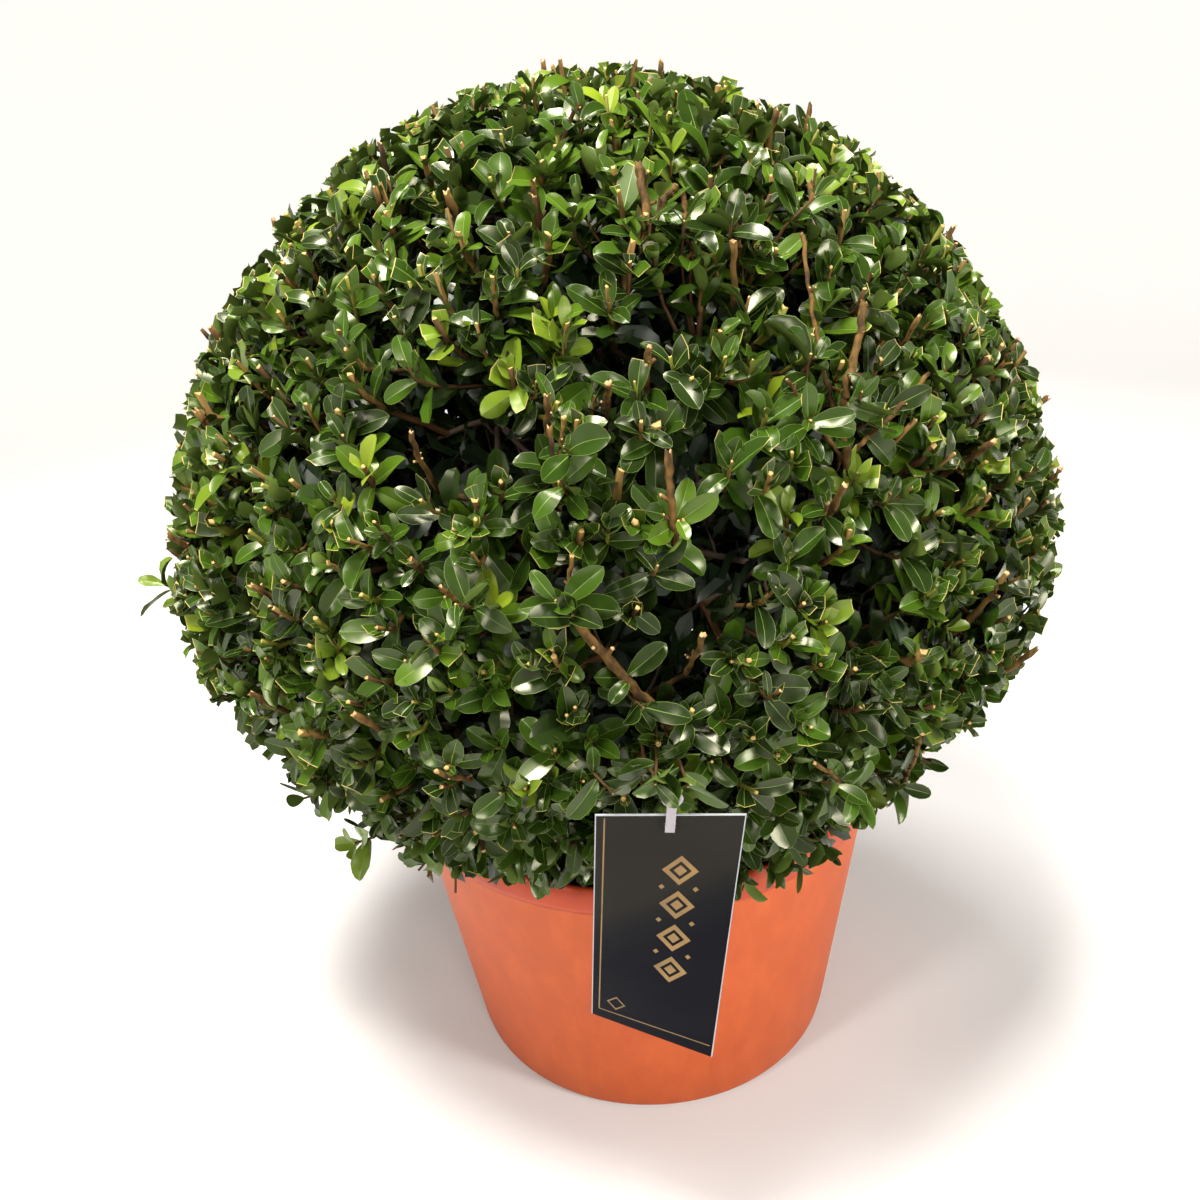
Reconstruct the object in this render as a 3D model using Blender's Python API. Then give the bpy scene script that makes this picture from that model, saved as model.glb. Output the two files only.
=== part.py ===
"""Clipped Japanese holly ball in a tapered nursery pot, with its hanging tag.

Metres, +Z up. The origin is the middle of the pot's flat underside, and the
front of the plant, where the tag hangs, faces -Y.

The crown is one clipped ball, built as twelve masses of foliage round a hollow
middle. A short trunk stands on the soil and forks into one bough for each
mass. Each mass is a dense core on a stem, with shoots that branch from the
stem, pass out through the core and carry the leaves of the clipped surface.
"""
import math
import random

import bmesh
import bpy
import numpy
from mathutils import Matrix, Vector

SEED = 11
TOUCH_GAP = 0.0003          # left between pieces that touch

# Pot: a tapered shell with a thick rolled rim
POT_BASE_RADIUS = 0.141
POT_WALL_TOP_RADIUS = 0.1728
CREASE_RADIUS = 0.1754      # where the rim's roll meets the wall
CREASE_HEIGHT = 0.2143
RIM_BULGE = 0.0037          # how far the roll stands out past the crease
RIM_HEIGHT = 0.021          # the roll's height above the crease
RIM_INSET = 0.0062          # from the crease radius in to the roll's inner side
POT_WALL = 0.0028
POT_FLOOR = 0.0045
POT_SEGMENTS = 48

# Soil, filled to a little under the rim
SOIL_LEVEL = 0.200

# Trunk: a short stem, from its flare on the soil up to the fork
TRUNK_FOOT = Vector((0.006, 0.004, SOIL_LEVEL + TOUCH_GAP))
TRUNK_FORK = Vector((-0.006, -0.002, 0.306))
TRUNK_FLARE_RADIUS = 0.029
TRUNK_RADIUS = 0.0165
TRUNK_FORK_RADIUS = 0.0105
TRUNK_SIDES = 12
FLARE_HEIGHT = 0.022
FLARE_LOBES = 4             # the ridges that run down into the roots
FLARE_LOBE_SHARE = 0.13
TRUNK_BOW = Vector((0.006, -0.004, 0))

# Crown: a ball whose upper and lower halves have their own heights and fullness
CROWN_CENTRE = Vector((-0.011, 0.0, 0.406))
CROWN_RADIUS = 0.300
CROWN_RISE = 0.313
CROWN_DROP = 0.312
UPPER_FULLNESS = 1.97       # 2 is an ellipse, and 1 a cone
LOWER_FULLNESS = 1.435
CROWN_FOOT = 0.247          # the cores' flat underside, just above the rim

# Masses of foliage: directions from the crown's centre
UPPER_RING = 5
UPPER_ELEVATION = math.radians(30)
LOWER_RING = 6
LOWER_ELEVATION = math.radians(-18)
FRONT = math.radians(-90)
CORE_SHARE = 0.865          # the core's surface, as a share of the way to the outline
CORE_GAP = 0.004            # between neighbouring cores
LEAF_CLEARANCE = 0.0006     # from a leaf to its mass's bounding planes
HOLLOW_RADIUS = 0.172       # from the crown's centre to each core's flat inner face

# Boughs and the stems of the masses
BOUGH_ROOT_RADIUS = 0.0050
BOUGH_TIP_RADIUS = 0.0034
BOUGH_SIDES = 6
LEADER_ROOT_RADIUS = 0.0084 # the bough that goes straight on up from the fork
LEADER_BOW = Vector((0.004, 0.003, 0))
STEM_OUTSIDE = 0.022        # length of a mass's stem inside the hollow middle
STEM_DEPTH = 0.020          # how deep the stem reaches into its core
BOUGH_STEPS = 6
LOWER_BOUGH_HEIGHT = 0.250  # where the boughs leave the trunk
UPPER_BOUGH_HEIGHT = 0.287
BOUGH_STAGGER = 0.008       # between neighbours of one ring
BOUGH_LEAVING = (0.045, 0.020)   # the curve's pull outward and upward at its root
BOUGH_ARRIVING = 0.040      # and along the stem at its tip

# Shoots and leaves
SHOOT_COUNT = 120
SHOOT_MARGIN = 0.005        # from a shoot's cut end to its mass's bounding planes
SHOOT_JITTER = 0.05
SKIRT_SHOOTS = 22           # low shoots all round, that reach out over the rim
SKIRT_REACH = 0.196         # from the pot's axis to their cut ends
SKIRT_RISE = 0.007          # of their cut ends, above the cores' underside
SKIRT_ROOT_SHARE = 0.66     # where they leave the core, as a share of their reach
SKIRT_ROOT_RISE = 0.014
SKIRT_DROOP = 0.35          # how far their leaves hang
SHOOT_RADIUS = 0.0036
SHOOT_TIP_RADIUS = 0.0022
SHOOT_TIP_DEPTH = 0.012     # from the outline in to a shoot's cut end
LIMB_REACH = 0.214          # from the crown's centre to where the shoots branch
LIMB_SPREAD = math.radians(17)
LEAVES_PER_SHOOT = 4
LEAF_LENGTH = 0.056
LEAF_WIDTH = 0.033
LEAF_THICKNESS = 0.0018
LEAF_STEP = 0.0060          # between the leaves along a shoot
LEAF_SINK = 0.0004          # a leaf's root, past the middle of its shoot
LEAF_SPACING = 0.0034       # between the surfaces of neighbouring leaves
LEAF_TILT = (38, 60)        # degrees from its shoot, before it leans out to fit
LEAF_TILT_STEP = 8
LEAF_TILT_LIMIT = 110
OUTLINE_SLACK = 0.0015      # how far a leaf's tip may pass the clipped surface
CORE_LEAVES = 260           # leaves between the shoots, rooted in the cores
CORE_LEAF_DEPTH = 0.007     # how deep their roots are sunk
CORE_LEAF_MARGIN = 0.008    # from their roots to the bounding planes
GOLDEN_ANGLE = math.pi * (3 - math.sqrt(5))
DARK_HOLLOWS = (            # azimuth, elevation and half angle of the bare hollows, in degrees
    (-81, 46, 5), (-112, 35, 6), (-88, 10, 6), (-78, 21, 5), (-62, 14, 5),
    (20, 30, 6), (75, 8, 6), (118, 38, 5), (165, 16, 6), (210, -12, 5),
)

# Tag: a thin stiff card, hung by a tie from a twig and slightly twisted
TAG_TOP_LEFT = Vector((-0.024, -0.308, 0.394))
TAG_TOP_RIGHT = Vector((0.052, -0.306, 0.388))
TAG_BOTTOM_LEFT = Vector((-0.037, -0.261, 0.216))
TAG_BOTTOM_RIGHT = Vector((0.032, -0.289, 0.205))
TAG_THICKNESS = 0.0010
TAG_COLUMNS = 4
TAG_ROWS = 6
TAG_HOLE_DROP = 0.0075      # from the top edge down to the hole
TAG_HOLE_WIDTH = 0.0064
TAG_HOLE_HEIGHT = 0.0036
TIE_WIDTH = 0.0050
TIE_THICKNESS = 0.0012
TIE_RISE = 0.020            # from the hole up to the middle of the eye
TIE_EYE_RADIUS = 0.0046     # to the middle of the eye's bar
TIE_EYE_BAR = 0.0010
TAG_TWIG_RADIUS = 0.0022
TAG_TWIG_PAST = 0.010       # the twig's end, past the eye
TAG_TWIG_DEPTH = 0.062      # its root inside the front core, behind the eye
POT_CLEARANCE = 0.004       # from shoots and leaves to the pot
TAG_CLEARANCE = 0.003       # and to the edges of the tag and its tie
TAG_FACE_CLEARANCE = 0.006  # and to their faces

COLOURS = {                 # base colour and roughness
    "pot": ((0.80, 0.22, 0.10, 1), 0.50),
    "soil": ((0.060, 0.038, 0.024, 1), 0.95),
    "bark": ((0.23, 0.165, 0.11, 1), 0.85),
    "foliage": ((0.045, 0.135, 0.040, 1), 0.35),
    "tag": ((0.012, 0.016, 0.026, 1), 0.22),
    "tie": ((0.86, 0.86, 0.84, 1), 0.40),
}


# ---------------------------------------------------------------- helpers

def clear_scene():
    for item in list(bpy.data.objects):
        bpy.data.objects.remove(item, do_unlink=True)


def material(name):
    colour, roughness = COLOURS[name]
    made = bpy.data.materials.new(name)
    made.use_nodes = True
    shader = made.node_tree.nodes["Principled BSDF"]
    shader.inputs["Base Color"].default_value = colour
    shader.inputs["Roughness"].default_value = roughness
    shader.inputs["Metallic"].default_value = 0.0
    return made


def solid(name, bm, finish=None, collection=None, smooth=None):
    """An object from a bmesh, with its faces pointing out."""
    bmesh.ops.recalc_face_normals(bm, faces=bm.faces)
    mesh = bpy.data.meshes.new(name)
    bm.to_mesh(mesh)
    bm.free()
    if smooth is not None:
        mesh.shade_smooth()
        mesh.set_sharp_from_angle(angle=math.radians(smooth))
    made = bpy.data.objects.new(name, mesh)
    if finish is not None:
        mesh.materials.append(finish)
    (collection or bpy.context.scene.collection).objects.link(made)
    return made


def lathe(profile, segments):
    """A closed body from (radius, height) points that start and end on the axis."""
    bm = bmesh.new()
    rings = []
    for radius, height in profile:
        if radius < 1e-6:
            rings.append([bm.verts.new((0, 0, height))])
            continue
        turn = [2 * math.pi * step / segments for step in range(segments)]
        rings.append([bm.verts.new((radius * math.cos(a), radius * math.sin(a), height)) for a in turn])
    for low, high in zip(rings, rings[1:]):
        for step in range(segments):
            after = (step + 1) % segments
            corners = [low[step % len(low)], low[after % len(low)],
                       high[after % len(high)], high[step % len(high)]]
            bm.faces.new(list(dict.fromkeys(corners)))
    return bm


def frame_across(direction, hint=Vector((0, 0, 1))):
    """Two unit vectors square to a direction."""
    if abs(direction.normalized().dot(hint)) > 0.95:
        hint = Vector((1, 0, 0))
    side = direction.cross(hint).normalized()
    return side, side.cross(direction).normalized()


def tube(points, radii, sides, lobes=None, last=None):
    """A capped tube along points; lobes(index, angle) may swell its rings, last aims its end cap."""
    bm = bmesh.new()
    rings = []
    for index, (point, radius) in enumerate(zip(points, radii)):
        ahead = points[min(index + 1, len(points) - 1)]
        behind = points[max(index - 1, 0)]
        aim = last if last and index == len(points) - 1 else ahead - behind
        side, up = frame_across(aim, Vector((0, 1, 0)))
        ring = []
        for step in range(sides):
            angle = 2 * math.pi * step / sides
            reach = radius * (lobes(index, angle) if lobes else 1)
            ring.append(bm.verts.new(point + reach * (side * math.cos(angle) + up * math.sin(angle))))
        rings.append(ring)
    for low, high in zip(rings, rings[1:]):
        for step in range(sides):
            after = (step + 1) % sides
            bm.faces.new((low[step], low[after], high[after], high[step]))
    bm.faces.new(rings[0])
    bm.faces.new(rings[-1])
    return bm


def block(size, place):
    """A box of the given size in the frame of the matrix place."""
    bm = bmesh.new()
    bmesh.ops.create_cube(bm, size=1, matrix=place @ Matrix.Diagonal((*size, 1)))
    return bm


def boolean(target, operation, tool=None, collection=None):
    """Applies one Boolean to the target and removes what it was given."""
    cut = target.modifiers.new("join", "BOOLEAN")
    cut.operation = operation
    cut.solver = "EXACT"
    if collection is not None:
        cut.operand_type = "COLLECTION"
        cut.collection = collection
    else:
        cut.object = tool
    bpy.context.view_layer.update()
    result = bpy.data.meshes.new_from_object(target.evaluated_get(bpy.context.evaluated_depsgraph_get()))
    target.modifiers.clear()
    target.data = result
    for used in [tool] if collection is None else list(collection.objects):
        bpy.data.objects.remove(used, do_unlink=True)
    if collection is not None:
        bpy.data.collections.remove(collection)


def keep_main_body(target):
    """Drops loose scraps and fills sealed hollows: only the largest shell stays."""
    bm = bmesh.new()
    bm.from_mesh(target.data)
    bmesh.ops.triangulate(bm, faces=bm.faces)
    waiting = set(bm.verts)
    shells = []
    while waiting:
        front = [waiting.pop()]
        shell = set(front)
        while front:
            for edge in front.pop().link_edges:
                for vert in edge.verts:
                    if vert in waiting:
                        waiting.discard(vert)
                        shell.add(vert)
                        front.append(vert)
        shells.append(shell)
    main = max(shells, key=len)
    bmesh.ops.delete(bm, geom=[vert for vert in bm.verts if vert not in main], context="VERTS")
    bm.to_mesh(target.data)
    bm.free()


# ---------------------------------------------------------------- pot and soil

def pot_wall_radius(height):
    return POT_BASE_RADIUS + (POT_WALL_TOP_RADIUS - POT_BASE_RADIUS) * height / CREASE_HEIGHT


def pot_profile():
    """Outer side from the underside's middle up and over the rim, then down inside."""
    rim_middle = CREASE_RADIUS + (RIM_BULGE - RIM_INSET) / 2
    rim_half = (RIM_BULGE + RIM_INSET) / 2
    profile = [(0, 0), (POT_BASE_RADIUS - 0.006, 0), (POT_BASE_RADIUS - 0.0015, 0.0016),
               (pot_wall_radius(0.006), 0.006), (pot_wall_radius(CREASE_HEIGHT - 0.004), CREASE_HEIGHT - 0.004),
               (CREASE_RADIUS, CREASE_HEIGHT)]
    roll_start = CREASE_HEIGHT + 0.006
    roll_height = RIM_HEIGHT - 0.006
    for step in range(7):
        angle = math.pi * step / 6
        profile.append((rim_middle + rim_half * math.cos(angle), roll_start + roll_height * math.sin(angle)))
    lip = CREASE_RADIUS - RIM_INSET
    profile.append((min(lip, pot_wall_radius(CREASE_HEIGHT - 0.012) - POT_WALL), CREASE_HEIGHT - 0.012))
    profile.append((pot_wall_radius(POT_FLOOR) - POT_WALL, POT_FLOOR))
    profile.append((0, POT_FLOOR))
    return profile


def build_pot(finish):
    return solid("pot", lathe(pot_profile(), POT_SEGMENTS), finish, smooth=40)


def build_soil(finish):
    foot = POT_FLOOR + TOUCH_GAP
    inset = POT_WALL + 1.2 * TOUCH_GAP
    profile = [(0, foot), (pot_wall_radius(foot) - inset, foot),
               (pot_wall_radius(SOIL_LEVEL) - inset, SOIL_LEVEL), (0, SOIL_LEVEL)]
    return solid("soil", lathe(profile, POT_SEGMENTS), finish, smooth=40)


# ---------------------------------------------------------------- trunk

def trunk_point(share):
    """The trunk's leaning, slightly bowed centre line."""
    return TRUNK_FOOT.lerp(TRUNK_FORK, share) + TRUNK_BOW * math.sin(math.pi * share)


def trunk_radius(share):
    height = share * (TRUNK_FORK.z - TRUNK_FOOT.z)
    flare = (TRUNK_FLARE_RADIUS - TRUNK_RADIUS) * math.exp(-(height / FLARE_HEIGHT) ** 1.4 * 1.6)
    return TRUNK_RADIUS + (TRUNK_FORK_RADIUS - TRUNK_RADIUS) * share + flare


def trunk_mesh(grow=0.0):
    shares = (0, 0.07, 0.16, 0.28, 0.45, 0.63, 0.82, 1)
    points = [trunk_point(share) for share in shares]
    points[0] = points[0] - Vector((0, 0, grow))
    points[-1] = points[-1] + Vector((0, 0, grow))
    radii = [trunk_radius(share) + grow for share in shares]

    def lobes(index, angle):
        fade = math.exp(-14 * shares[index])
        return 1 + FLARE_LOBE_SHARE * fade * math.cos(FLARE_LOBES * angle + 0.6)

    bm = tube(points, radii, TRUNK_SIDES, lobes)
    bm.verts.ensure_lookup_table()
    for vert in bm.verts[:TRUNK_SIDES]:      # the flat cut on the soil, and the level fork
        vert.co.z = points[0].z
    for vert in bm.verts[-TRUNK_SIDES:]:
        vert.co.z = points[-1].z
    return bm


# ---------------------------------------------------------------- crown

def toward(azimuth, elevation):
    flat = math.cos(elevation)
    return Vector((flat * math.cos(azimuth), flat * math.sin(azimuth), math.sin(elevation)))


def outline(direction):
    """Distance from the crown's centre to its clipped surface."""
    across = math.hypot(direction.x, direction.y) / CROWN_RADIUS
    if direction.z >= 0:
        upright, fullness = direction.z / CROWN_RISE, UPPER_FULLNESS
    else:
        upright, fullness = -direction.z / CROWN_DROP, LOWER_FULLNESS
    return (across ** fullness + upright ** fullness) ** (-1 / fullness)


def even_directions(count):
    """Directions spread evenly over a whole ball."""
    for index in range(count):
        height = 1 - 2 * (index + 0.5) / count
        flat = math.sqrt(1 - height * height)
        turn = index * GOLDEN_ANGLE
        yield Vector((flat * math.cos(turn), flat * math.sin(turn), height))


def mass_directions():
    """Each mass's name and direction: one on top, an upper ring and a lower ring."""
    named = {"foliage_top": Vector((0, 0, 1))}
    for index in range(UPPER_RING):
        azimuth = FRONT + 2 * math.pi * (index + 0.5) / UPPER_RING
        named[f"foliage_upper_{index + 1}"] = toward(azimuth, UPPER_ELEVATION)
    for index in range(LOWER_RING):
        azimuth = FRONT + 2 * math.pi * index / LOWER_RING
        named[f"foliage_lower_{index + 1}"] = toward(azimuth, LOWER_ELEVATION)
    return named


def bounding_planes(name, directions):
    """The planes half way to each neighbour, as (point, inward normal)."""
    own = directions[name]
    others = [directions[other] for other in directions if other != name]
    others.append(Vector((0, 0, -1)))        # the open underside, above the pot
    planes = [(CROWN_CENTRE, (own - other).normalized()) for other in others]
    if not name.startswith("foliage_top"):
        planes.append((Vector((0, 0, CROWN_FOOT)), Vector((0, 0, 1))))
    return planes


def depth_inside(point, planes):
    """How far a point is inside the nearest bounding plane."""
    return min((point - origin).dot(normal) for origin, normal in planes)


def core_mesh(own, planes):
    """The crown's ball, cut to one mass's space and by its flat inner face."""
    bm = bmesh.new()
    bmesh.ops.create_icosphere(bm, subdivisions=3, radius=1)
    for vert in bm.verts:
        direction = vert.co.normalized()
        vert.co = CROWN_CENTRE + direction * outline(direction) * CORE_SHARE
    cuts = [(origin + normal * CORE_GAP / 2, normal) for origin, normal in planes]
    cuts.append((CROWN_CENTRE + own * HOLLOW_RADIUS, own))
    for origin, normal in cuts:
        geometry = list(bm.verts) + list(bm.edges) + list(bm.faces)
        bmesh.ops.bisect_plane(bm, geom=geometry, plane_co=origin, plane_no=normal, clear_inner=True)
        rim = [edge for edge in bm.edges if edge.is_boundary]
        if rim:
            bmesh.ops.holes_fill(bm, edges=rim, sides=0)
    bmesh.ops.dissolve_degenerate(bm, edges=bm.edges, dist=0.00005)
    bmesh.ops.triangulate(bm, faces=bm.faces)
    return bm


def leaf_mesh(root, tip, facing):
    """A leaf of eight faces: a lozenge, thickest along its middle."""
    along = tip - root
    length = along.length
    along.normalize()
    across = along.cross(facing).normalized()
    up = across.cross(along).normalized()
    width = LEAF_WIDTH * length / LEAF_LENGTH
    bm = bmesh.new()
    ends = [bm.verts.new(root), bm.verts.new(tip)]
    belt = [bm.verts.new(root + along * length * share + offset) for share, offset in (
        (0.60, across * width / 2), (0.52, up * LEAF_THICKNESS / 2),
        (0.60, across * -width / 2), (0.52, up * -LEAF_THICKNESS / 2))]
    for index in range(4):
        after = (index + 1) % 4
        bm.faces.new((ends[0], belt[index], belt[after]))
        bm.faces.new((ends[1], belt[after], belt[index]))
    return bm


def leaf_samples(root, tip, facing):
    """Points over a leaf, outside its shoot, for testing what it would touch."""
    along = (tip - root).normalized()
    across = along.cross(facing).normalized() * LEAF_WIDTH / 2
    widest = root.lerp(tip, 0.60)
    samples = [root.lerp(tip, step / 10) for step in range(2, 11)]
    for side in (widest + across, widest - across):
        samples += [root.lerp(side, step / 5) for step in (2, 3, 4, 5)]
        samples += [side.lerp(tip, step / 5) for step in (1, 2, 3, 4)]
    return samples


# ---------------------------------------------------------------- tag and tie

def tag_point(across, down):
    """A point on the card's middle surface, from shares of its width and height."""
    top = TAG_TOP_LEFT.lerp(TAG_TOP_RIGHT, across)
    bottom = TAG_BOTTOM_LEFT.lerp(TAG_BOTTOM_RIGHT, across)
    return top.lerp(bottom, down)


def tag_frame(across, down):
    """The card's frame there: X along its width, Y up it, and Z out of its face."""
    step = 0.01
    width = (tag_point(across + step, down) - tag_point(across - step, down)).normalized()
    drop = (tag_point(across, down + step) - tag_point(across, down - step)).normalized()
    out = drop.cross(width).normalized()
    if out.y > 0:
        out.negate()
    upward = out.cross(width).normalized()
    turn = Matrix((width, upward, out)).transposed().to_4x4()
    return Matrix.Translation(tag_point(across, down)) @ turn


def hole_frame():
    height = (TAG_BOTTOM_LEFT - TAG_TOP_LEFT).length
    return tag_frame(0.5, TAG_HOLE_DROP / height)


def tag_mesh():
    bm = bmesh.new()
    layers = []
    for side in (0.5, -0.5):
        layer = []
        for row in range(TAG_ROWS + 1):
            for column in range(TAG_COLUMNS + 1):
                across, down = column / TAG_COLUMNS, row / TAG_ROWS
                out = tag_frame(across, down).to_3x3().col[2]
                layer.append(bm.verts.new(tag_point(across, down) + out * TAG_THICKNESS * side))
        layers.append(layer)

    def at(layer, row, column):
        return layers[layer][row * (TAG_COLUMNS + 1) + column]

    for layer in (0, 1):
        for row in range(TAG_ROWS):
            for column in range(TAG_COLUMNS):
                a, b = at(layer, row, column), at(layer, row, column + 1)
                c, d = at(layer, row + 1, column + 1), at(layer, row + 1, column)
                bm.faces.new((a, b, c))
                bm.faces.new((a, c, d))
    edge = [(0, column) for column in range(TAG_COLUMNS)]
    edge += [(row, TAG_COLUMNS) for row in range(TAG_ROWS)]
    edge += [(TAG_ROWS, column) for column in range(TAG_COLUMNS, 0, -1)]
    edge += [(row, 0) for row in range(TAG_ROWS, 0, -1)]
    for here, after in zip(edge, edge[1:] + edge[:1]):
        bm.faces.new((at(0, *here), at(0, *after), at(1, *after), at(1, *here)))
    return bm


def build_tag(finish):
    tag = solid("tag", tag_mesh(), finish)
    hole = block((TAG_HOLE_WIDTH, TAG_HOLE_HEIGHT, 0.02), hole_frame())
    boolean(tag, "DIFFERENCE", tool=solid("hole", hole))
    return tag


def eye_centre():
    place = hole_frame()
    return place @ Vector((0, TIE_RISE, tie_offset()))


def tie_offset():
    """From the card's middle surface out to the middle of the tie's strap."""
    return TAG_THICKNESS / 2 + 2 * TOUCH_GAP + TIE_THICKNESS / 2


def build_tie(finish):
    """An eye on the twig, a strap down the card's face, and a bar behind its hole."""
    place = hole_frame()
    bm = bmesh.new()
    sides, bar_sides = 16, 6
    rings = []
    for step in range(sides):
        turn = 2 * math.pi * step / sides
        middle = Vector((math.cos(turn), math.sin(turn), 0))
        ring = []
        for corner in range(bar_sides):
            angle = 2 * math.pi * corner / bar_sides
            reach = TIE_EYE_RADIUS + TIE_EYE_BAR * math.cos(angle)
            offset = Vector((0, TIE_RISE, tie_offset() + TIE_EYE_BAR * math.sin(angle)))
            ring.append(bm.verts.new(place @ (middle * reach + offset)))
        rings.append(ring)
    for step in range(sides):
        here, after = rings[step], rings[(step + 1) % sides]
        for corner in range(bar_sides):
            beside = (corner + 1) % bar_sides
            bm.faces.new((here[corner], after[corner], after[beside], here[beside]))
    tie = solid("tag_tie", bm, finish, smooth=40)
    strap_top = TIE_RISE - TIE_EYE_RADIUS
    strap_bottom = -TAG_HOLE_HEIGHT / 2 - 0.0015
    back = TAG_THICKNESS / 2 + TOUCH_GAP + 0.0006
    boxes = (
        ((TIE_WIDTH, strap_top - strap_bottom, TIE_THICKNESS),
         (0, (strap_top + strap_bottom) / 2, tie_offset())),
        ((TIE_WIDTH - 0.0004, TAG_HOLE_HEIGHT - 0.0014, tie_offset() + back),
         (0, 0, (tie_offset() - back) / 2)),
        ((TAG_HOLE_WIDTH + 0.004, TAG_HOLE_HEIGHT - 0.0014, 0.0010),
         (0, 0, -back)),
    )
    parts = bpy.data.collections.new("tie parts")
    bpy.context.scene.collection.children.link(parts)
    for size, offset in boxes:
        solid("tie part", block(size, place @ Matrix.Translation(Vector(offset))), collection=parts)
    boolean(tie, "UNION", collection=parts)
    keep_main_body(tie)
    return tie


# ---------------------------------------------------------------- clearances

def in_the_way(point):
    """True where a leaf or shoot would touch the pot, the soil, the tag or its tie."""
    reach = math.hypot(point.x, point.y)
    rim_top = CREASE_HEIGHT + RIM_HEIGHT
    if point.z < rim_top + POT_CLEARANCE and reach < CREASE_RADIUS + RIM_BULGE + POT_CLEARANCE:
        return True
    if point.y > TAG_BOTTOM_LEFT.y + 2 * TAG_FACE_CLEARANCE:
        return False
    width = (TAG_TOP_RIGHT - TAG_TOP_LEFT).length
    height = (TAG_BOTTOM_LEFT - TAG_TOP_LEFT).length
    slices = 12
    for step in range(slices + 1):
        local = tag_frame(0.5, step / slices).inverted() @ point
        if (abs(local.x) < width / 2 + TAG_CLEARANCE and abs(local.y) < height / slices
                and abs(local.z) < TAG_FACE_CLEARANCE):
            return True
    local = hole_frame().inverted() @ point
    eye_reach = TIE_EYE_RADIUS + TIE_EYE_BAR + TAG_CLEARANCE
    return (abs(local.x) < eye_reach and -TAG_HOLE_DROP < local.y < TIE_RISE + eye_reach
            and abs(local.z) < TAG_FACE_CLEARANCE)


def bare_hollow(direction):
    """True inside one of the dark hollows of the clipped surface."""
    for azimuth, elevation, half in DARK_HOLLOWS:
        middle = toward(math.radians(azimuth), math.radians(elevation))
        if direction.angle(middle) < math.radians(half):
            return True
    return False


# ---------------------------------------------------------------- masses and boughs

def stem_foot(own):
    return CROWN_CENTRE + own * (HOLLOW_RADIUS - STEM_OUTSIDE)


def limb_ends(own):
    """Where the stem's four limbs end, inside the core."""
    side, up = frame_across(own)
    ends = []
    for index in range(4):
        turn = math.pi / 4 + math.pi / 2 * index
        tilt = side * math.cos(turn) + up * math.sin(turn)
        aim = own * math.cos(LIMB_SPREAD) + tilt * math.sin(LIMB_SPREAD)
        ends.append(CROWN_CENTRE + aim * LIMB_REACH)
    return ends


def shoot_tips(own, planes, rng):
    """Where this mass's shoots are cut, evenly over its share of the clipped surface."""
    tips = []
    for direction in even_directions(SHOOT_COUNT):
        jitter = Vector([rng.uniform(-SHOOT_JITTER, SHOOT_JITTER) for _ in range(3)])
        aim = (direction + jitter).normalized()
        tip = CROWN_CENTRE + aim * (outline(aim) - SHOOT_TIP_DEPTH)
        if depth_inside(tip, planes) > SHOOT_MARGIN and not bare_hollow(aim):
            tips.append(tip)
    return tips


def skirt_tips(planes):
    """The cut ends of the low shoots that reach out over the rim."""
    tips = []
    for index in range(SKIRT_SHOOTS):
        aim = toward(2 * math.pi * (index + 0.5) / SKIRT_SHOOTS, 0)
        tip = Vector((CROWN_CENTRE.x / 2, 0, CROWN_FOOT + SKIRT_RISE)) + aim * SKIRT_REACH
        if depth_inside(tip, planes) > SHOOT_MARGIN:
            tips.append(tip)
    return tips


def crowded(samples, taken):
    """True where a leaf would come too near one that is already there."""
    if not taken:
        return False
    here = numpy.array(samples)
    there = numpy.concatenate(taken)
    return numpy.linalg.norm(here[:, None] - there[None], axis=2).min() < LEAF_SPACING


def fitted_leaf(seat, axis, turn, sink, droop, planes, rng, taken):
    """Root, tip and facing of a leaf that clears all round it, or None.

    It leans out from axis to the side given by turn, further where its tip
    would pass the clipped outline.
    """
    side, up = frame_across(axis)
    spread = side * math.cos(turn) + up * math.sin(turn)
    length = LEAF_LENGTH * rng.uniform(0.85, 1.08)
    tilt = math.radians(rng.uniform(*LEAF_TILT))
    side_planes = [plane for plane in planes if plane[1].z < 0.999]
    while tilt < math.radians(LEAF_TILT_LIMIT):
        aim = (axis * math.cos(tilt) + spread * math.sin(tilt) + Vector((0, 0, -droop))).normalized()
        root = seat - aim * sink
        end = root + aim * length
        outward = end - CROWN_CENTRE
        samples = leaf_samples(root, end, axis)
        if (outward.length < outline(outward.normalized()) + OUTLINE_SLACK
                and min(depth_inside(sample, side_planes) for sample in samples) > LEAF_CLEARANCE
                and not crowded(samples, taken)
                and not any(in_the_way(sample) for sample in samples)):
            taken.append(numpy.array(samples))
            return root, end, axis
        tilt += math.radians(LEAF_TILT_STEP)
    return None


def leaves_on(foot, tip, droop, planes, rng, taken):
    """The leaves round one shoot, each a golden angle on from the last."""
    axis = (tip - foot).normalized()
    start = rng.uniform(0, 2 * math.pi)
    for index in range(LEAVES_PER_SHOOT):
        seat = tip - axis * (0.002 + LEAF_STEP * index)
        yield fitted_leaf(seat, axis, start + index * GOLDEN_ANGLE, LEAF_SINK, droop, planes, rng, taken)


def leaves_between(planes, rng, taken):
    """The leaves between the shoots, rooted in the core."""
    for index, direction in enumerate(even_directions(CORE_LEAVES)):
        seat = CROWN_CENTRE + direction * outline(direction) * CORE_SHARE
        if depth_inside(seat, planes) > CORE_LEAF_MARGIN and not bare_hollow(direction):
            turn = rng.uniform(0, 2 * math.pi)
            yield fitted_leaf(seat, direction, turn, CORE_LEAF_DEPTH, 0.0, planes, rng, taken)


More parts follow.
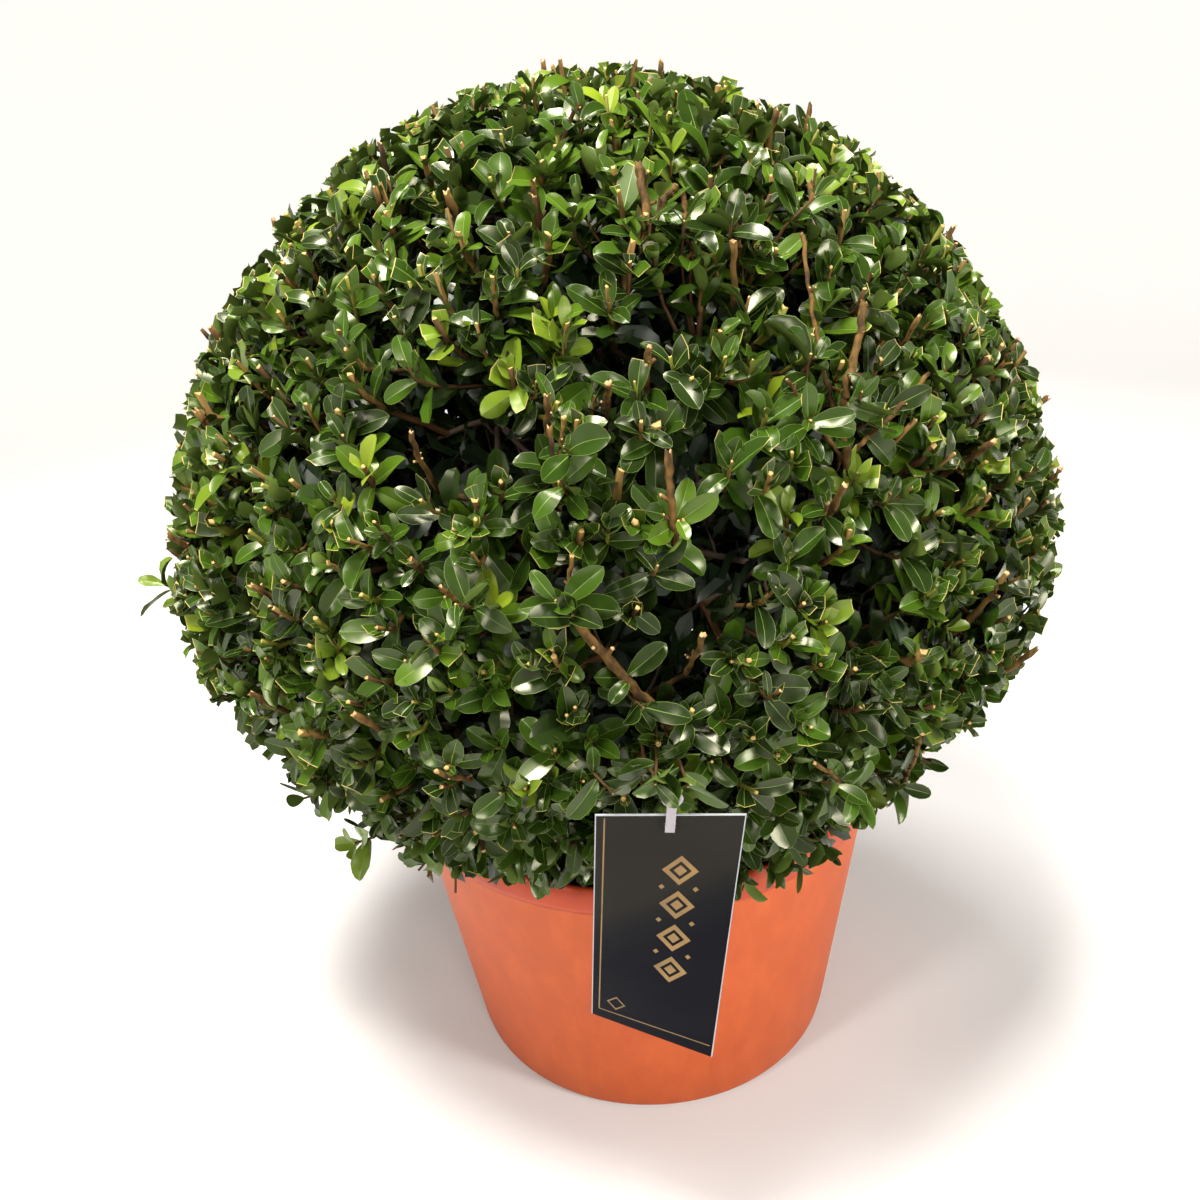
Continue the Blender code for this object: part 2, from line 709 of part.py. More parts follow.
def build_mass(name, directions, finish):
    """One mass: core, stem, limbs, shoots and leaves, fused into one body."""
    rng = random.Random(f"{SEED} {name}")
    own = directions[name]
    planes = bounding_planes(name, directions)
    pieces = bpy.data.collections.new(name)
    bpy.context.scene.collection.children.link(pieces)
    core = solid(name, core_mesh(own, planes), finish)
    head = CROWN_CENTRE + own * (HOLLOW_RADIUS + STEM_DEPTH)
    foot = stem_foot(own) + own * TOUCH_GAP
    solid("stem", tube([foot, head], [BOUGH_TIP_RADIUS, BOUGH_TIP_RADIUS * 0.8], BOUGH_SIDES), collection=pieces)
    limbs = limb_ends(own)
    for end in limbs:
        start = head - own * 0.006
        solid("limb", tube([start, end], [SHOOT_RADIUS, SHOOT_RADIUS], 3), collection=pieces)
    shoots = [(tip, 0.0) for tip in shoot_tips(own, planes, rng)]
    shoots += [(tip, SKIRT_DROOP) for tip in skirt_tips(planes)]
    leaves = []
    taken = []
    for tip, droop in shoots:
        start = min(limbs, key=lambda end: (end - tip).length)
        if droop:                            # a low shoot leaves the core near its foot
            start = tip * SKIRT_ROOT_SHARE
            start.z = CROWN_FOOT + SKIRT_ROOT_RISE
        path = [start.lerp(tip, step / 8) for step in range(4, 9)]
        if any(in_the_way(point) for point in path):
            continue
        solid("shoot", tube([start, tip], [SHOOT_RADIUS, SHOOT_TIP_RADIUS], 3), collection=pieces)
        leaves += leaves_on(start, tip, droop, planes, rng, taken)
    leaves += leaves_between(planes, rng, taken)
    for leaf in leaves:
        if leaf is not None:
            solid("leaf", leaf_mesh(*leaf), collection=pieces)
    if name == "foliage_lower_1":
        solid("tag twig", tag_twig_mesh(), collection=pieces)
    boolean(core, "UNION", collection=pieces)
    keep_main_body(core)
    return core


def tag_twig_mesh():
    """The bare twig that the tag's tie hangs on: it rises out of the front core."""
    out = hole_frame().to_3x3().col[2]
    rest = TIE_EYE_RADIUS - TIE_EYE_BAR - TAG_TWIG_RADIUS - TOUCH_GAP
    through = eye_centre() + hole_frame().to_3x3().col[1] * rest
    start = through - out * TAG_TWIG_DEPTH
    return tube([start, through + out * TAG_TWIG_PAST], [TAG_TWIG_RADIUS, TAG_TWIG_RADIUS], 8)


def bough_mesh(own, root_height):
    """A tapering limb from the trunk's middle, curving round to its mass's stem."""
    share = (root_height - TRUNK_FOOT.z) / (TRUNK_FORK.z - TRUNK_FOOT.z)
    start = trunk_point(share)
    end = stem_foot(own)
    outward, upward = BOUGH_LEAVING
    first = start + Vector((own.x, own.y, 0)).normalized() * outward + Vector((0, 0, upward))
    second = end - own * BOUGH_ARRIVING
    shares = [step / BOUGH_STEPS for step in range(BOUGH_STEPS + 1)]
    points = [start * (1 - t) ** 3 + first * 3 * t * (1 - t) ** 2
              + second * 3 * t * t * (1 - t) + end * t ** 3 for t in shares]
    radii = [BOUGH_ROOT_RADIUS + (BOUGH_TIP_RADIUS - BOUGH_ROOT_RADIUS) * t for t in shares]
    return tube(points, radii, BOUGH_SIDES, last=own)


def build_boughs(directions, finish):
    leader = TRUNK_FORK + Vector((0, 0, TOUCH_GAP))
    end = stem_foot(directions["foliage_top"])
    middle = leader.lerp(end, 0.5) + LEADER_BOW
    radii = [LEADER_ROOT_RADIUS, (LEADER_ROOT_RADIUS + BOUGH_TIP_RADIUS) / 2, BOUGH_TIP_RADIUS]
    bm = tube([leader, middle, end], radii, BOUGH_SIDES)
    bm.verts.ensure_lookup_table()
    for vert in bm.verts[:BOUGH_SIDES]:      # a level foot on the fork
        vert.co.z = leader.z
    for vert in bm.verts[-BOUGH_SIDES:]:     # a level tip under the stem
        vert.co.z = end.z
    solid("bough_top", bm, finish, smooth=50)
    for name, own in directions.items():
        if name == "foliage_top":
            continue
        height = UPPER_BOUGH_HEIGHT if "upper" in name else LOWER_BOUGH_HEIGHT
        height += BOUGH_STAGGER * (int(name[-1]) % 2 - 0.5)
        bough = solid(name.replace("foliage", "bough"), bough_mesh(own, height), finish, smooth=50)
        boolean(bough, "DIFFERENCE", tool=solid("grown trunk", trunk_mesh(TOUCH_GAP)))
        keep_main_body(bough)


def main():
    clear_scene()
    bark = material("bark")
    foliage = material("foliage")
    build_pot(material("pot"))
    build_soil(material("soil"))
    solid("trunk", trunk_mesh(), bark, smooth=40)
    directions = mass_directions()
    build_boughs(directions, bark)
    for name in directions:
        build_mass(name, directions, foliage)
    build_tag(material("tag"))
    build_tie(material("tie"))


main()
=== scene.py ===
"""Looks of a Japanese holly clipped as a ball, in its nursery pot, with its hanging tag.

Metres, +Z up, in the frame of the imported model: the origin is the middle of the
pot's flat underside, and the tag hangs at the front, towards -Y.

The crown repeats the growth rule of the solids and carries it further. Each mass
has one stem, four limbs leave the stem, branchlets leave the limbs, and shoots
leave the branchlets and are cut where they meet the clipped surface. Each leaf
stands a golden angle on from the one above it, and what passes the clipped
surface is cut straight across, as shears leave it.
"""
import math

import bmesh
import bpy
import numpy as np
from mathutils import Matrix, Vector, noise


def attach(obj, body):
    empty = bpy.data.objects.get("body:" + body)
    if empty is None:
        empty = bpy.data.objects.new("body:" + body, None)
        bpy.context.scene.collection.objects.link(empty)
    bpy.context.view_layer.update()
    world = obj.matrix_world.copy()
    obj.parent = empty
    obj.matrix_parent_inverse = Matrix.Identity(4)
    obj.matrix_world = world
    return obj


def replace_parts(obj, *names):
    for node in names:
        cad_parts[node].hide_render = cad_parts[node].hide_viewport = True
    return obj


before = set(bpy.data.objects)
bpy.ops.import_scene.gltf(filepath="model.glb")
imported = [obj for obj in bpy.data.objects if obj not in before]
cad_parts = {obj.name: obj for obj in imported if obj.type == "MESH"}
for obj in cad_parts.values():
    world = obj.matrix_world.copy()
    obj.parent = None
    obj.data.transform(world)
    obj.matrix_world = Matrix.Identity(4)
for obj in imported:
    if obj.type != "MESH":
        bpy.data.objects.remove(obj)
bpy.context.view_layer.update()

SEED = 23
BODY = "root"
GOLDEN_ANGLE = math.pi * (3 - math.sqrt(5))

# Pot, soil and trunk, as in the solids
POT_BASE_RADIUS = 0.141
POT_WALL_TOP_RADIUS = 0.1728
CREASE_RADIUS = 0.1754
CREASE_HEIGHT = 0.2143
RIM_BULGE = 0.0037
RIM_HEIGHT = 0.021
RIM_INSET = 0.0062
POT_WALL = 0.0028
SOIL_LEVEL = 0.200
TOUCH_GAP = 0.0003
TRUNK_FOOT = Vector((0.006, 0.004, SOIL_LEVEL + TOUCH_GAP))
TRUNK_FORK = Vector((-0.006, -0.002, 0.306))
TRUNK_BOW = Vector((0.006, -0.004, 0))
TRUNK_FLARE_RADIUS = 0.029
TRUNK_RADIUS = 0.0165
TRUNK_FORK_RADIUS = 0.0105
FLARE_HEIGHT = 0.022
FLARE_LOBES = 4
FLARE_LOBE_SHARE = 0.13

# Crown, as in the solids
CROWN_CENTRE = Vector((-0.011, 0.0, 0.406))
CROWN_RADIUS = 0.300
CROWN_RISE = 0.313
CROWN_DROP = 0.312
UPPER_FULLNESS = 1.97
LOWER_FULLNESS = 1.435
CROWN_FOOT = 0.247
UPPER_RING = 5
UPPER_ELEVATION = math.radians(30)
LOWER_RING = 6
LOWER_ELEVATION = math.radians(-18)
FRONT = math.radians(-90)
HOLLOW_RADIUS = 0.172
STEM_OUTSIDE = 0.022
STEM_DEPTH = 0.020
LIMB_REACH = 0.214
LIMB_SPREAD = math.radians(17)
BOUGH_ROOT_RADIUS = 0.0050
BOUGH_TIP_RADIUS = 0.0034
LEADER_ROOT_RADIUS = 0.0084
LEADER_BOW = Vector((0.004, 0.003, 0))
LOWER_BOUGH_HEIGHT = 0.250
UPPER_BOUGH_HEIGHT = 0.287
BOUGH_STAGGER = 0.008
BOUGH_LEAVING = (0.045, 0.020)
BOUGH_ARRIVING = 0.040
DARK_HOLLOWS = (            # azimuth, elevation and half angle, in degrees
    (-81, 46, 5), (-112, 35, 6), (-88, 10, 6), (-78, 21, 5), (-62, 14, 5),
    (20, 30, 6), (75, 8, 6), (118, 38, 5), (165, 16, 6), (210, -12, 5),
)

# Finer twigs; radii are at the foot and at the tip
STEM_RADII = (BOUGH_TIP_RADIUS, BOUGH_TIP_RADIUS * 0.9)
LIMB_RADII = (0.0031, 0.0024)
LIMB_STEPS = 5              # points along a stem, a limb and a branchlet
LIMB_SEAT = 0.006           # how far inside its stem's head a limb starts
LIMB_BOW = 0.004
BRANCHLETS = 300            # over the whole ball
BRANCHLET_RADII = (0.0023, 0.0016)
BRANCHLET_SHARE = 0.80      # their tips, as a share of the way to the outline
LOWEST_BRANCHLET = math.radians(-56)
SHOOTS = 2400
SHOOT_RADII = (0.00130, 0.00100)
SHOOT_STEPS = 6             # points along an outer shoot
SHOOT_JITTER = 0.026
BARE_SHARE = 0.06           # of the shoots are missing
WHOLE_BELOW = 0.006         # how far leaves low on the ball stand out past the clipped surface
SINK_BELOW = 0.012          # and how much deeper their shoots end
HANG_HEIGHT = 0.2285        # how low leaves hang over the pot's rim, and how much lower in the lobes
HANG_DROP = 0.018
HANG_SLOPE = 0.75           # the foliage's lower face rises this much for each metre out from the rim
HANG_LOBES = 5
HANG_TURN = math.radians(70)
HANG_SPREAD = 0.0026        # how much that differs from leaf to leaf
LOWEST_SHOOT = math.radians(-47)
INNER_SHOOTS = 2500
INNER_RADII = (0.0012, 0.0008)
SKIRT_SHOOTS = 104
CUT_SHARE = 0.74            # of the shoots end in a cut, and the others in a whole rosette
LIFT = 1.50                 # how far shoots turn up towards the light
SURFACE_SINK = 0.0040       # how far inside the even outline the clipped surface lies
SURFACE_WAVES = ((5.0, 0.0035), (16.0, 0.0036))        # scale and height of its unevenness
STUBS = 64                  # thick old twigs all round, cut at the clipped surface
LOWEST_STUB = math.radians(-25)
STUB_FREE = 0.0036          # leaves keep this far off them
OLD_TWIG_SIDES = 10
NUB_SIDES = 6
SLENDER = 0.70 / 1000       # from the radii of VISIBLE_TWIGS to metres
VISIBLE_TWIGS = (           # points (azimuth, elevation, mm behind the clipped surface), radii at both ends
    (((-83.0, 21.8, 26), (-83.0, 25.5, 10), (-82.7, 31.4, 0)), 3.1, 2.7),
    (((-94.3, 27.1, 20), (-94.9, 30.7, 8), (-95.3, 34.6, 0)), 2.1, 1.9),
    (((-94.8, 29.8, 12), (-94.2, 32.5, 5), (-93.8, 35.3, 0)), 1.5, 1.2),
    (((-83.0, 3.7, 34), (-86.6, 8.3, 22), (-89.7, 12.2, 10), (-93.1, 16.8, 0)), 3.7, 3.0),
    (((-91.9, 14.5, 9), (-93.6, 18.8, 5), (-93.3, 22.8, 0)), 1.9, 1.6),
    (((-103.6, 17.8, 22), (-105.2, 18.8, 9), (-106.7, 19.7, 1)), 2.0, 1.7),
    (((-63.0, 27.0, 26), (-62.4, 31.0, 18), (-60.6, 34.0, 13), (-56.7, 37.9, 7), (-51.9, 42.1, 0)),
     3.6, 2.6),
    (((-62.8, 30.2, 18), (-62.4, 36.3, 10), (-60.5, 42.8, 5), (-55.7, 50.6, -1)), 2.0, 1.5),
    (((-61.0, 29.0, 18), (-54.5, 31.1, 8), (-47.0, 33.4, 0)), 1.9, 1.6),
    (((-63.4, 28.6, 18), (-66.0, 33.3, 8), (-67.5, 36.6, 1)), 1.6, 1.3),
    (((-81.5, 50.3, 24), (-80.1, 55.7, 9), (-78.8, 62.1, -2)), 2.9, 3.1),
    (((-79.8, 53.8, 12), (-76.1, 57.3, 4), (-73.1, 58.9, -1)), 2.2, 2.0),
    (((-74.9, 50.3, 14), (-74.0, 54.2, 5), (-72.6, 57.6, -1)), 1.9, 1.9),
    (((-67.2, 50.5, 14), (-65.5, 53.2, 5), (-63.1, 55.8, -1)), 2.0, 2.0),
    (((-51.8, 51.7, 14), (-49.4, 53.8, 5), (-45.8, 56.2, -1)), 2.1, 1.9),
    (((-64.2, -8.7, 10), (-67.0, -4.8, 3), (-70.3, -1.2, -3)), 2.1, 1.4),
    (((-61.0, -14.0, 26), (-56.6, -12.1, 12), (-56.1, -7.8, 4), (-56.6, -2.8, 0)), 2.2, 1.6),
    (((-92.7, 72.0, 14), (-91.4, 75.0, 5), (-90.8, 78.5, -2)), 1.9, 1.7),
)
YOUNG_SPRAYS = (            # azimuth and elevation of yellow-green sprays
    (-99, 48), (-67, 37), (-118, 31), (-100, 16.5), (-48, 30), (-163, 53), (-85, 76), (-121, 23), (-76, 82),
    (-146, 41), (40, 62), (12, 35), (75, 30), (110, 52), (150, 20), (-10, 12), (95, -5), (175, 60), (-152, 5),
)
YOUNG_LEAVES = 3            # at the end of each such spray
TWIG_COVER = 0.42           # leaves cover the bare twigs up to this share of their length
STRAYS = (                  # azimuth and elevation of sprays that grew out again after the clipping
    (-165, 4), (60, -8), (140, 44), (-130, -22), (20, 5), (100, 24), (-150, -26),
)
STRAY_REACH = 0.003
TIE_COVER = (               # tips of the sprays in front of the tie's eye
    (0.0135, -0.3150, 0.4100), (0.0070, -0.3150, 0.4150),
    (0.0230, -0.3140, 0.4120), (-0.014, -0.3120, 0.4090),
)
COVER_GREENS = (0.3, 0.4, 0.2, 0.1, 0, 0)      # shares of GREENS among the low and covering sprays
BED_SHOOTS = 170            # across the crown's lower face

# Leaves
LEAF_LENGTH = 0.0216
LEAF_WIDTH = 0.0097
SIZE_SPREAD = 0.19
SIZE_LIMITS = (0.52, 1.36)
LEAF_FOLD = (21, 12)        # mean and spread of the fold along the midrib, in degrees
LEAF_CURL = (0.32, 0.45)    # and of the bend along the leaf, in radians
LEAF_TWIST = 0.30           # spread, in radians
LEAF_WAVE = 0.0011
TURN_SPREAD = 0.18          # of the turn round the shoot, in radians
TILT_SPREAD = 11            # degrees
FACE_TO_LIGHT = 0.36        # how far the blades turn their faces to the light
BASE_POWER = 0.85           # the blade's half width is t^BASE_POWER (1-t)^TIP_POWER
TIP_POWER = 0.60
WIDEST = 0.6                # share of the length near which the blade is widest
STATIONS = (0.08, 0.26, 0.46, 0.66, 0.84, 0.95)
CUT_STATIONS = (0.12, 0.35, 0.58, 0.80, 1.0)
MIDRIB_HALF = 0.00022
# The pale edge is the underside's paler green showing past the blade: partly the leaf's own pale margin,
# partly a painted highlight on its thickness.
MARGIN = 0.00027            # how far the pale edge stands out past the green
BLADE_DEPTH = 0.00028       # from the upper side to the underside along the midrib
EDGE_DEPTH = 0.00006        # and along its edges
CUT_EDGE = 0.00032
LEAST_LEFT = 0.34           # a leaf cut nearer its root than this share is gone
LEAST_CUT_OFF = 0.93        # and one met past this share stays whole
OUTER_LEAVES = (            # down a shoot: distance below the first, tilt in degrees, size
    (0, 27, 0.70), (0.0026, 34, 0.84), (0.0055, 41, 0.94), (0.0087, 48, 1.02), (0.0123, 54, 1.06),
    (0.0163, 59, 1.08), (0.0206, 63, 1.06), (0.0252, 66, 1.04), (0.0302, 68, 1.0), (0.0356, 70, 1.0),
    (0.0414, 72, 1.0),
)
DETAILED_LEAVES = 6         # of those are full blades, and the others plain ones
OLD_FROM = 8                # and from here on some are old
PLACED_LEAVES = (
    (0.0004, 32, 0.8), (0.0032, 42, 0.95), (0.0066, 52, 1.05), (0.0104, 60, 1.08), (0.0146, 66, 1.05),
    (0.019, 70, 1.0),
)
INNER_LEAVES = (
    (0.0004, 35, 0.95), (0.004, 50, 1.1), (0.008, 60, 1.15), (0.0125, 66, 1.15), (0.0175, 70, 1.1),
    (0.023, 74, 1.1),
)
BED_LEAVES = (
    (0.0004, 35, 1.0), (0.004, 50, 1.15), (0.008, 60, 1.2), (0.0125, 66, 1.2), (0.0175, 70, 1.15),
    (0.023, 74, 1.1),
)

# Tag and tie, as in the solids
TAG_TOP_LEFT = Vector((-0.024, -0.308, 0.394))
TAG_TOP_RIGHT = Vector((0.052, -0.306, 0.388))
TAG_BOTTOM_LEFT = Vector((-0.037, -0.261, 0.216))
TAG_BOTTOM_RIGHT = Vector((0.032, -0.289, 0.205))
TAG_THICKNESS = 0.0010
TAG_HOLE_DROP = 0.0075
TOP_OVERLAP = 0.007         # leaves in front may hide this much of the card, but not the strap on it
STRAP_FREE = 0.005          # to each side of the strap's middle
CARD_FREE = 0.014           # leaves stay this far behind the card

# Camera
CAMERA_PLACE = Vector((0.0, -0.84013839, 0.7831705))
CAMERA_PITCH = math.radians(-24.1885)
CAMERA_TURN = (math.radians(1.3543), math.radians(-2.6361), math.radians(-3.3136))
CAMERA_LENS = 39.0

CENTRE = np.array(CROWN_CENTRE)
EYE = np.array(CAMERA_PLACE)


# ---------------------------------------------------------------- materials

def srgb(red, green, blue):
    """A linear colour from an 8-bit display colour."""
    linear = []
    for value in (red, green, blue):
        share = value / 255
        linear.append(share / 12.92 if share <= 0.04045 else ((share + 0.055) / 1.055) ** 2.4)
    return (*linear, 1.0)


def plain(name, colour, roughness, **more):
    """A Principled material with plain values on the shader's own sockets."""
    made = bpy.data.materials.new(name)
    made.use_nodes = True
    shader = made.node_tree.nodes["Principled BSDF"]
    shader.inputs["Base Color"].default_value = colour
    shader.inputs["Roughness"].default_value = roughness
    for socket, value in more.items():
        shader.inputs[socket.replace("_", " ")].default_value = value
    return made


class Nodes:
    """Short hand for building one material's node tree."""

    def __init__(self, made):
        self.tree = made.node_tree
        self.shader = self.tree.nodes["Principled BSDF"]
        self.place = self.tree.nodes.new("ShaderNodeTexCoord").outputs["Object"]

    def link(self, output, socket):
        self.tree.links.new(output, socket)
        return output

    def mapping(self, scale):
        node = self.tree.nodes.new("ShaderNodeMapping")
        node.inputs["Scale"].default_value = scale
        self.link(self.place, node.inputs["Vector"])
        return node.outputs["Vector"]

    def noise(self, scale, detail, roughness, stretch):
        node = self.tree.nodes.new("ShaderNodeTexNoise")
        node.inputs["Scale"].default_value = scale
        node.inputs["Detail"].default_value = detail
        node.inputs["Roughness"].default_value = roughness
        self.link(self.mapping(stretch), node.inputs["Vector"])
        return node.outputs["Fac"]

    def ramp(self, factor, stops):
        node = self.tree.nodes.new("ShaderNodeValToRGB")
        band = node.color_ramp
        while len(band.elements) < len(stops):
            band.elements.new(0.5)
        for element, (place, colour) in zip(band.elements, stops):
            element.position = place
            element.color = colour
        self.link(factor, node.inputs["Fac"])
        return node.outputs["Color"]

    def blend(self, factor, first, second):
        node = self.tree.nodes.new("ShaderNodeMix")
        node.data_type = "RGBA"
        for value, socket in ((factor, node.inputs[0]), (first, node.inputs[6]), (second, node.inputs[7])):
            if isinstance(value, bpy.types.NodeSocket):
                self.link(value, socket)
            else:
                socket.default_value = value
        return node.outputs[2]

    def spread(self, factor, low, high):
        """Maps 0..1 to low..high."""
        node = self.tree.nodes.new("ShaderNodeMapRange")
        node.inputs["To Min"].default_value = low
        node.inputs["To Max"].default_value = high
        self.link(factor, node.inputs["Value"])
        return node.outputs["Result"]

    def bump(self, height, strength, distance):
        node = self.tree.nodes.new("ShaderNodeBump")
        node.inputs["Strength"].default_value = strength
        node.inputs["Distance"].default_value = distance
        self.link(height, node.inputs["Height"])
        self.link(node.outputs["Normal"], self.shader.inputs["Normal"])


def patterned(name, colours, roughness, scale, stretch=(1, 1, 1), relief=(0.4, 0.001), detail=5, **more):
    """A material whose colour, roughness and relief follow one noise."""
    made = plain(name, colours[0], roughness[0], **more)
    nodes = Nodes(made)
    wide = nodes.noise(scale, detail, 0.6, stretch)
    stops = [(0.3 + 0.4 * index / (len(colours) - 1), colour) for index, colour in enumerate(colours)]
    nodes.link(nodes.ramp(wide, stops), nodes.shader.inputs["Base Color"])
    nodes.link(nodes.spread(wide, *roughness), nodes.shader.inputs["Roughness"])
    nodes.bump(nodes.noise(scale * 4, 6, 0.65, stretch), *relief)
    return made


GREENS = {                  # blade colour, roughness, and share of the sprays
    "deep": (srgb(24, 38, 9), 0.25, 0.26),
    "dark": (srgb(33, 52, 10), 0.24, 0.31),
    "mid": (srgb(45, 68, 12), 0.24, 0.25),
    "fresh": (srgb(62, 86, 15), 0.26, 0.13),
    "bright": (srgb(86, 106, 22), 0.30, 0.05),
    "young": (srgb(106, 122, 22), 0.36, 0.0),
}
YOUNG = len(GREENS) - 1
LEAF_GLOSS = 0.40
LEAF_TINT = (1.0, 0.98, 0.74, 1)      # of what the blades reflect
TWIG_GLOSS = 0.15


def foliage_materials():
    """Blades first, in the order of GREENS, then midrib, underside, cut edge and old blade."""
    made = [plain(f"leaf_{name}", colour, roughness, Specular_IOR_Level=LEAF_GLOSS, Specular_Tint=LEAF_TINT)
            for name, (colour, roughness, _) in GREENS.items()]
    made.append(plain("leaf_midrib", srgb(94, 118, 46), 0.38))
    made.append(plain("leaf_underside", srgb(78, 96, 36), 0.42))
    made.append(plain("leaf_cut_edge", srgb(162, 144, 80), 0.75))
    made.append(plain("leaf_old", srgb(24, 38, 18), 0.40))
    return made


MIDRIB, UNDERSIDE, CUT, OLD = range(len(GREENS), len(GREENS) + 4)


TWIGS = {                   # colour and roughness of the thin twigs that show
    "brown": (srgb(66, 46, 23), 0.70),
    "tan": (srgb(96, 74, 35), 0.68),
    "green": (srgb(98, 98, 32), 0.55),
    "cut": (srgb(172, 144, 92), 0.85),
}
TWIG_BROWN, TWIG_TAN, TWIG_GREEN, TWIG_CUT, TWIG_GREY = range(len(TWIGS) + 1)
OLD_BARK, OLD_WOOD = range(2)


def twig_materials():
    """Twigs that show first, in the order of TWIGS, then the grey of those inside."""
    made = [plain(f"twig_{name}", colour, roughness, Specular_IOR_Level=TWIG_GLOSS)
            for name, (colour, roughness) in TWIGS.items()]
    return [*made, plain("twig_grey", srgb(64, 50, 36), 0.80)]


# ---------------------------------------------------------------- joined meshes

class Heap:
    """Collects faces from arrays and makes one joined mesh of them."""

    def __init__(self):
        self.points, self.count = [], 0
        self.faces = {3: [], 4: []}
        self.kinds = {3: [], 4: []}

    def add(self, points, pattern, kinds):
        """Copies of one small mesh: points (N, V, 3), pattern [face], kinds (N, faces) or (faces,)."""
        number, each = points.shape[:2]
        base = self.count + each * np.arange(number)
        kinds = np.broadcast_to(np.asarray(kinds), (number, len(pattern)))
        for sides in (3, 4):
            chosen = [index for index, face in enumerate(pattern) if len(face) == sides]
            if chosen:
                corners = np.array([pattern[index] for index in chosen])
                self.faces[sides].append((base[:, None, None] + corners[None]).reshape(-1, sides))
                self.kinds[sides].append(kinds[:, chosen].reshape(-1))
        self.points.append(points.reshape(-1, 3))
        self.count += number * each

    def object(self, name, materials):
        mesh = bpy.data.meshes.new(name)
        points = np.concatenate(self.points).astype(np.float32)
        loops, starts, kinds, start = [], [], [], 0
        for sides in (3, 4):
            if self.faces[sides]:
                faces = np.concatenate(self.faces[sides])
                loops.append(faces.reshape(-1))
                starts.append(start + sides * np.arange(len(faces)))
                kinds.append(np.concatenate(self.kinds[sides]))
                start += faces.size
        loops, starts, kinds = (np.concatenate(part).astype(np.int32) for part in (loops, starts, kinds))
        mesh.vertices.add(len(points))
        mesh.vertices.foreach_set("co", points.reshape(-1))
        mesh.loops.add(len(loops))
        mesh.loops.foreach_set("vertex_index", loops)
        mesh.polygons.add(len(starts))
        mesh.polygons.foreach_set("loop_start", starts)
        for made in materials:
            mesh.materials.append(made)
        mesh.polygons.foreach_set("material_index", kinds)
        mesh.update(calc_edges=True)
        mesh.validate()
        mesh.shade_smooth()
        made = bpy.data.objects.new(name, mesh)
        bpy.context.scene.collection.objects.link(made)
        return made


def ring_points(radius, height, turns):
    """So many points (turns, 3) round the Z axis."""
    angle = 2 * math.pi * np.arange(turns) / turns
    return np.stack((radius * np.cos(angle), radius * np.sin(angle), np.full(turns, height)), -1)


def ring_faces(rings, turns, mirrored=False):
    """Quads between rings of so many points each, counted ring by ring."""
    faces = []
    for low in range(0, (rings - 1) * turns, turns):
        for step in range(turns):
            after = (step + 1) % turns
            a, b, c, d = low + step, low + turns + step, low + turns + after, low + after
            faces.append((a, d, c, b) if mirrored else (a, b, c, d))
    return faces


def fan_faces(middle, first, turns, mirrored=False):
    """Triangles from a middle point to the ring of points that starts at first."""
    faces = [(middle, first + (step + 1) % turns, first + step) for step in range(turns)]
    return [(a, c, b) for a, b, c in faces] if mirrored else faces


# ---------------------------------------------------------------- crown

def unit(vectors):
    return vectors / np.linalg.norm(vectors, axis=-1, keepdims=True)


def toward(azimuth, elevation):
    flat = math.cos(elevation)
    return Vector((flat * math.cos(azimuth), flat * math.sin(azimuth), math.sin(elevation)))


def aim_at(azimuth, elevation):
    """The direction from the crown's centre at angles in degrees, as an array."""
    return np.array(toward(math.radians(azimuth), math.radians(elevation)))


def outline(directions):
    """Distance from the crown's centre to its clipped surface, for an array of unit vectors."""
    across = np.hypot(directions[..., 0], directions[..., 1]) / CROWN_RADIUS
    up = directions[..., 2]
    upright = np.where(up >= 0, up / CROWN_RISE, -up / CROWN_DROP)
    fullness = np.where(up >= 0, UPPER_FULLNESS, LOWER_FULLNESS)
    return (across ** fullness + upright ** fullness) ** (-1 / fullness)


def past_outline(points):
    """How far points are outside the clipped surface."""
    from_centre = points - CENTRE
    reach = np.linalg.norm(from_centre, axis=-1)
    return reach - outline(from_centre / reach[..., None])


def even_directions(count):
    index = np.arange(count)
    height = 1 - 2 * (index + 0.5) / count
    flat = np.sqrt(1 - height * height)
    turn = index * GOLDEN_ANGLE
    return np.stack((flat * np.cos(turn), flat * np.sin(turn), height), -1)


def uneven_directions(count, jitter, rng):
    aims = even_directions(count)
    return unit(aims + rng.normal(0, jitter, aims.shape))


def round_foot(turn, reach, height):
    """Points round a line between the pot's middle and the crown's."""
    return np.stack((CROWN_CENTRE.x / 2 + reach * np.cos(turn), reach * np.sin(turn), height), -1)


def mass_directions():
    named = {"foliage_top": Vector((0, 0, 1))}
    for index in range(UPPER_RING):
        azimuth = FRONT + 2 * math.pi * (index + 0.5) / UPPER_RING
        named[f"foliage_upper_{index + 1}"] = toward(azimuth, UPPER_ELEVATION)
    for index in range(LOWER_RING):
        azimuth = FRONT + 2 * math.pi * index / LOWER_RING
        named[f"foliage_lower_{index + 1}"] = toward(azimuth, LOWER_ELEVATION)
    return named


MASSES = mass_directions()
MASS_NAMES = list(MASSES)
MASS_AIMS = np.array([list(MASSES[name]) for name in MASS_NAMES])


def mass_of(directions):
    """Index of the mass that each direction from the crown's centre lies in."""
    return np.argmax(directions @ MASS_AIMS.T, axis=-1)


def frame_across(direction, hint=Vector((0, 0, 1))):
    if abs(direction.normalized().dot(hint)) > 0.95:
        hint = Vector((1, 0, 0))
    side = direction.cross(hint).normalized()
    return side, side.cross(direction).normalized()


def limb_ends(own):
    side, up = frame_across(own)
    ends = []
    for index in range(4):
        turn = math.pi / 4 + math.pi / 2 * index
        tilt = side * math.cos(turn) + up * math.sin(turn)
        aim = own * math.cos(LIMB_SPREAD) + tilt * math.sin(LIMB_SPREAD)
        ends.append(CROWN_CENTRE + aim * LIMB_REACH)
    return ends


